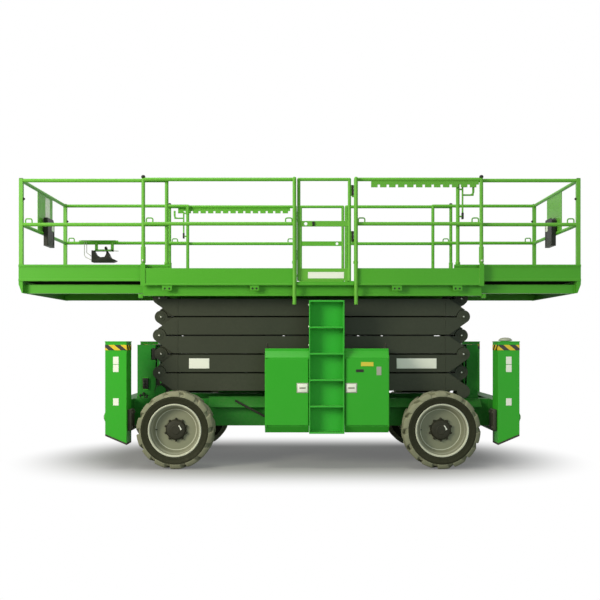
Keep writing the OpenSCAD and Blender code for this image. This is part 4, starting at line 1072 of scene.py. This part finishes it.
def addPapersTrim(end):
    way = ends[end]
    inner = way * (papers["face"] - papers["depth"])
    bm = bmesh.new()
    softBox(bm, around(inner, 0.002), papers["sheetY"], papers["sheetZ"], 0.001)
    if end == "front":
        # a pale sheet on the front end panel: a painted reflection
        panel = way * papers["panel"]
        softBox(bm, (panel - 0.001, panel + 0.0015), papers["glareY"], papers["glareZ"], 0.0006)
    addPiece("papersSheet_" + end, bm, "paleSheetAndGlint", "extension_" + end)
    bm = bmesh.new()
    xs, half, rib = around(inner, 0.004), papers["half"], papers["rib"]
    for y in (rib - half, half - rib):
        softBox(bm, xs, around(y, rib), papers["postZ"], 0.003)
    softBox(bm, xs, (-half, half), papers["frameZ"], 0.003)
    addPiece("papersFrame_" + end, bm, "blackPlasticAndShade", "extension_" + end)


# thin dark sheets under the extension decks: painted shade filling the gap above the side beams
gapShade = {"front": (-3.000, -1.704), "rear": (1.976, 3.000), "half": 0.886, "z": (2.0076, 2.0104)}


def addGapShade(end):
    boxPiece("deckGapShade_" + end, "deepShade", "extension_" + end, "black_plastic",
             gapShade[end], (-gapShade["half"], gapShade["half"]), gapShade["z"], 0.001)


for end in ends:
    addPapersTrim(end)
    addGapShade(end)

# platform control: green bracket, shaped body with a stick, thin wires
control = {
    "outline": [(-2.649, 2.365), (-2.388, 2.365), (-2.342, 2.378), (-2.342, 2.393), (-2.411, 2.424),
                (-2.437, 2.475), (-2.462, 2.475), (-2.483, 2.434), (-2.541, 2.429), (-2.593, 2.460),
                (-2.626, 2.516), (-2.649, 2.516)],
    "y": (0.688, 0.846), "bodyIn": (0.012, 0.030), "bar": (-2.842, -2.336), "barZ": (2.630, 2.657),
    "frame": (-2.637, -2.393), "frameZ": (2.512, 2.640), "post": 0.040, "sheet": 0.006, "sill": 0.030,
    "stick": (-2.452, 0.767, 2.468), "lean": (-0.30, 0.0, 0.95),
    "boot": [(0.030, -0.010), (0.030, 0.004), (0.023, 0.010), (0.026, 0.016), (0.018, 0.024), (0.021, 0.030),
             (0.012, 0.040), (0.012, 0.062), (0.019, 0.074), (0.020, 0.098), (0.013, 0.108), (0.0, 0.110)],
    "wireR": 0.0045, "wires": (
        [(-2.772, 0.842, 2.640), (-2.772, 0.842, 2.470), (-2.752, 0.826, 2.440), (-2.639, 0.796, 2.385)],
        [(-2.742, 0.842, 2.640), (-2.742, 0.842, 2.500), (-2.639, 0.816, 2.425)],
        [(-2.403, 0.843, 2.524), (-2.333, 0.843, 2.520)]),
}


def addControl():
    (y0, y1), (b0, b1), (f0, f1) = control["y"], control["bar"], control["frame"]
    (barLow, barTop), (low, high) = control["barZ"], control["frameZ"]
    post, sheet = control["post"], control["sheet"]
    bm = bmesh.new()
    softBox(bm, (b0, b1), (y1 - 0.010, y1 + 0.004), (barLow, barTop), 0.004, 2)
    softBox(bm, (b0 + 0.030, b1 - 0.030), (y1 - 0.030, y1 + 0.004), (barTop - sheet, barTop))
    for x in (f0, f1 - post):
        softBox(bm, (x, x + post), (y1 - sheet, y1), (low, high), 0.002, 2)
    softBox(bm, (f0, f1), (y1 - sheet, y1), (low, low + control["sill"]), 0.002, 2)
    softBox(bm, (f0 + 0.012, f1 - 0.012), (y0 + 0.030, y1), (low, low + sheet))
    piece = addPiece("controlFrame", bm, "railLitGreen", "extension_front")
    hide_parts("platform_control")
    bm = bmesh.new()
    inset, less = control["bodyIn"]
    face = bm.faces.new([bm.verts.new((x, y0 + inset, z)) for x, z in control["outline"]])
    grown = bmesh.ops.extrude_face_region(bm, geom=[face])["geom"]
    bmesh.ops.translate(bm, vec=(0, y1 - y0 - less, 0), verts=vertsOf(grown))
    bmesh.ops.recalc_face_normals(bm, faces=list(bm.faces))
    softenEdges(bm, list(bm.edges), 0.004, 2)
    spun(bm, control["boot"], control["stick"], control["lean"], 28)
    closeHoles(bm)
    addPiece("controlBody", bm, "blackPlasticAndShade", "extension_front")
    bm = bmesh.new()
    for points in control["wires"]:
        bentRod(bm, points, control["wireR"], 8)
    addPiece("controlWire", bm, "greySheet", "extension_front")


addControl()
print("extension trim made")


# pale studio: a grey floor whose shade near the machine is a painted shadow pool on top of the real shadow it
# keeps, turning white further out; soft light from the left and above
studio = {
    "floorShadowGrey": (150, 150, 149), "floorSize": 60.0,
    "shadowFade": (0.9, 2.3), "base": 0.14, "back": -0.1, "straight": 1.1,
    "key": {"place": (-7.5, -7.8, 4.4), "size": 4.0, "power": 720.0, "colour": (1.0, 0.96, 0.80)},
    "fill": {"place": (4.5, -12.0, 2.5), "size": 6.0, "power": 170.0, "colour": (0.72, 1.0, 0.96)},
    "top": {"place": (-1.5, -1.5, 11.0), "size": 4.0, "power": 450.0, "colour": (1.0, 0.98, 0.88)},
    "sky": 0.40, "aim": (0.0, 0.0, 1.4),
}


def addFloor():
    bm = bmesh.new()
    bmesh.ops.create_grid(bm, x_segments=2, y_segments=2, size=studio["floorSize"] / 2)
    mesh = bpy.data.meshes.new("floor")
    bm.to_mesh(mesh)
    bm.free()
    floor = bpy.data.objects.new("floor", mesh)
    bpy.context.scene.collection.objects.link(floor)
    pale = bpy.data.materials.new("floorPale")
    pale.use_nodes = True
    tree = pale.node_tree
    shader = tree.nodes["Principled BSDF"]
    shader.inputs["Base Color"].default_value = srgb(*studio["floorShadowGrey"])
    shader.inputs["Roughness"].default_value = 0.9
    shader.inputs["Specular IOR Level"].default_value = 0.0
    white = addNode(tree, "ShaderNodeEmission", Color=(1, 1, 1, 1), Strength=1.0)
    axes = objectPlace(tree)[1]
    far = tree.nodes.new("ShaderNodeVectorMath")
    far.operation = "LENGTH"
    flat = tree.nodes.new("ShaderNodeCombineXYZ")
    beyond = mathNode(tree, "SUBTRACT", mathNode(tree, "ABSOLUTE", axes["X"], 0.0), studio["straight"])
    link(mathNode(tree, "MAXIMUM", beyond, 0.0), flat.inputs["X"])
    link(mathNode(tree, "SUBTRACT", axes["Y"], studio["back"]), flat.inputs["Y"])
    link(flat.outputs[0], far.inputs[0])
    # the floor's grey near the machine is a painted shadow pool; camera and glossy rays see it turn white
    # further out
    shadowFade = addNode(tree, "ShaderNodeMapRange", From_Min=studio["shadowFade"][0], From_Max=studio["shadowFade"][1],
                   To_Min=studio["base"])
    shadowFade.interpolation_type = "SMOOTHSTEP"
    link(far.outputs["Value"], shadowFade.inputs["Value"])
    factor = mathNode(tree, "MULTIPLY", shadowFade.outputs[0], seenRays(tree))
    blendShaders(tree, factor, shader, white, tree.nodes["Material Output"])
    mesh.materials.append(pale)


def addLights():
    for name in ("key", "fill", "top"):
        lamp = studio[name]
        data = bpy.data.lights.new(name, "AREA")
        data.shape = "DISK"
        data.size = lamp["size"]
        data.energy = lamp["power"]
        data.color = lamp["colour"]
        made = bpy.data.objects.new(name, data)
        made.location = lamp["place"]
        look = Vector(studio["aim"]) - Vector(lamp["place"])
        made.rotation_euler = look.to_track_quat("-Z", "Y").to_euler()
        bpy.context.scene.collection.objects.link(made)
    world = bpy.data.worlds.new("studioSky")
    world.use_nodes = True
    tree = world.node_tree
    tree.nodes.clear()
    leave = tree.nodes.new("ShaderNodeOutputWorld")
    seen = addNode(tree, "ShaderNodeBackground", Color=(1, 1, 1, 1), Strength=1.0)
    lit = addNode(tree, "ShaderNodeBackground", Color=(1, 1, 1, 1), Strength=studio["sky"])
    blendShaders(tree, seenRays(tree), lit, seen, leave)
    bpy.context.scene.world = world


addFloor()
addLights()
print("studio set")
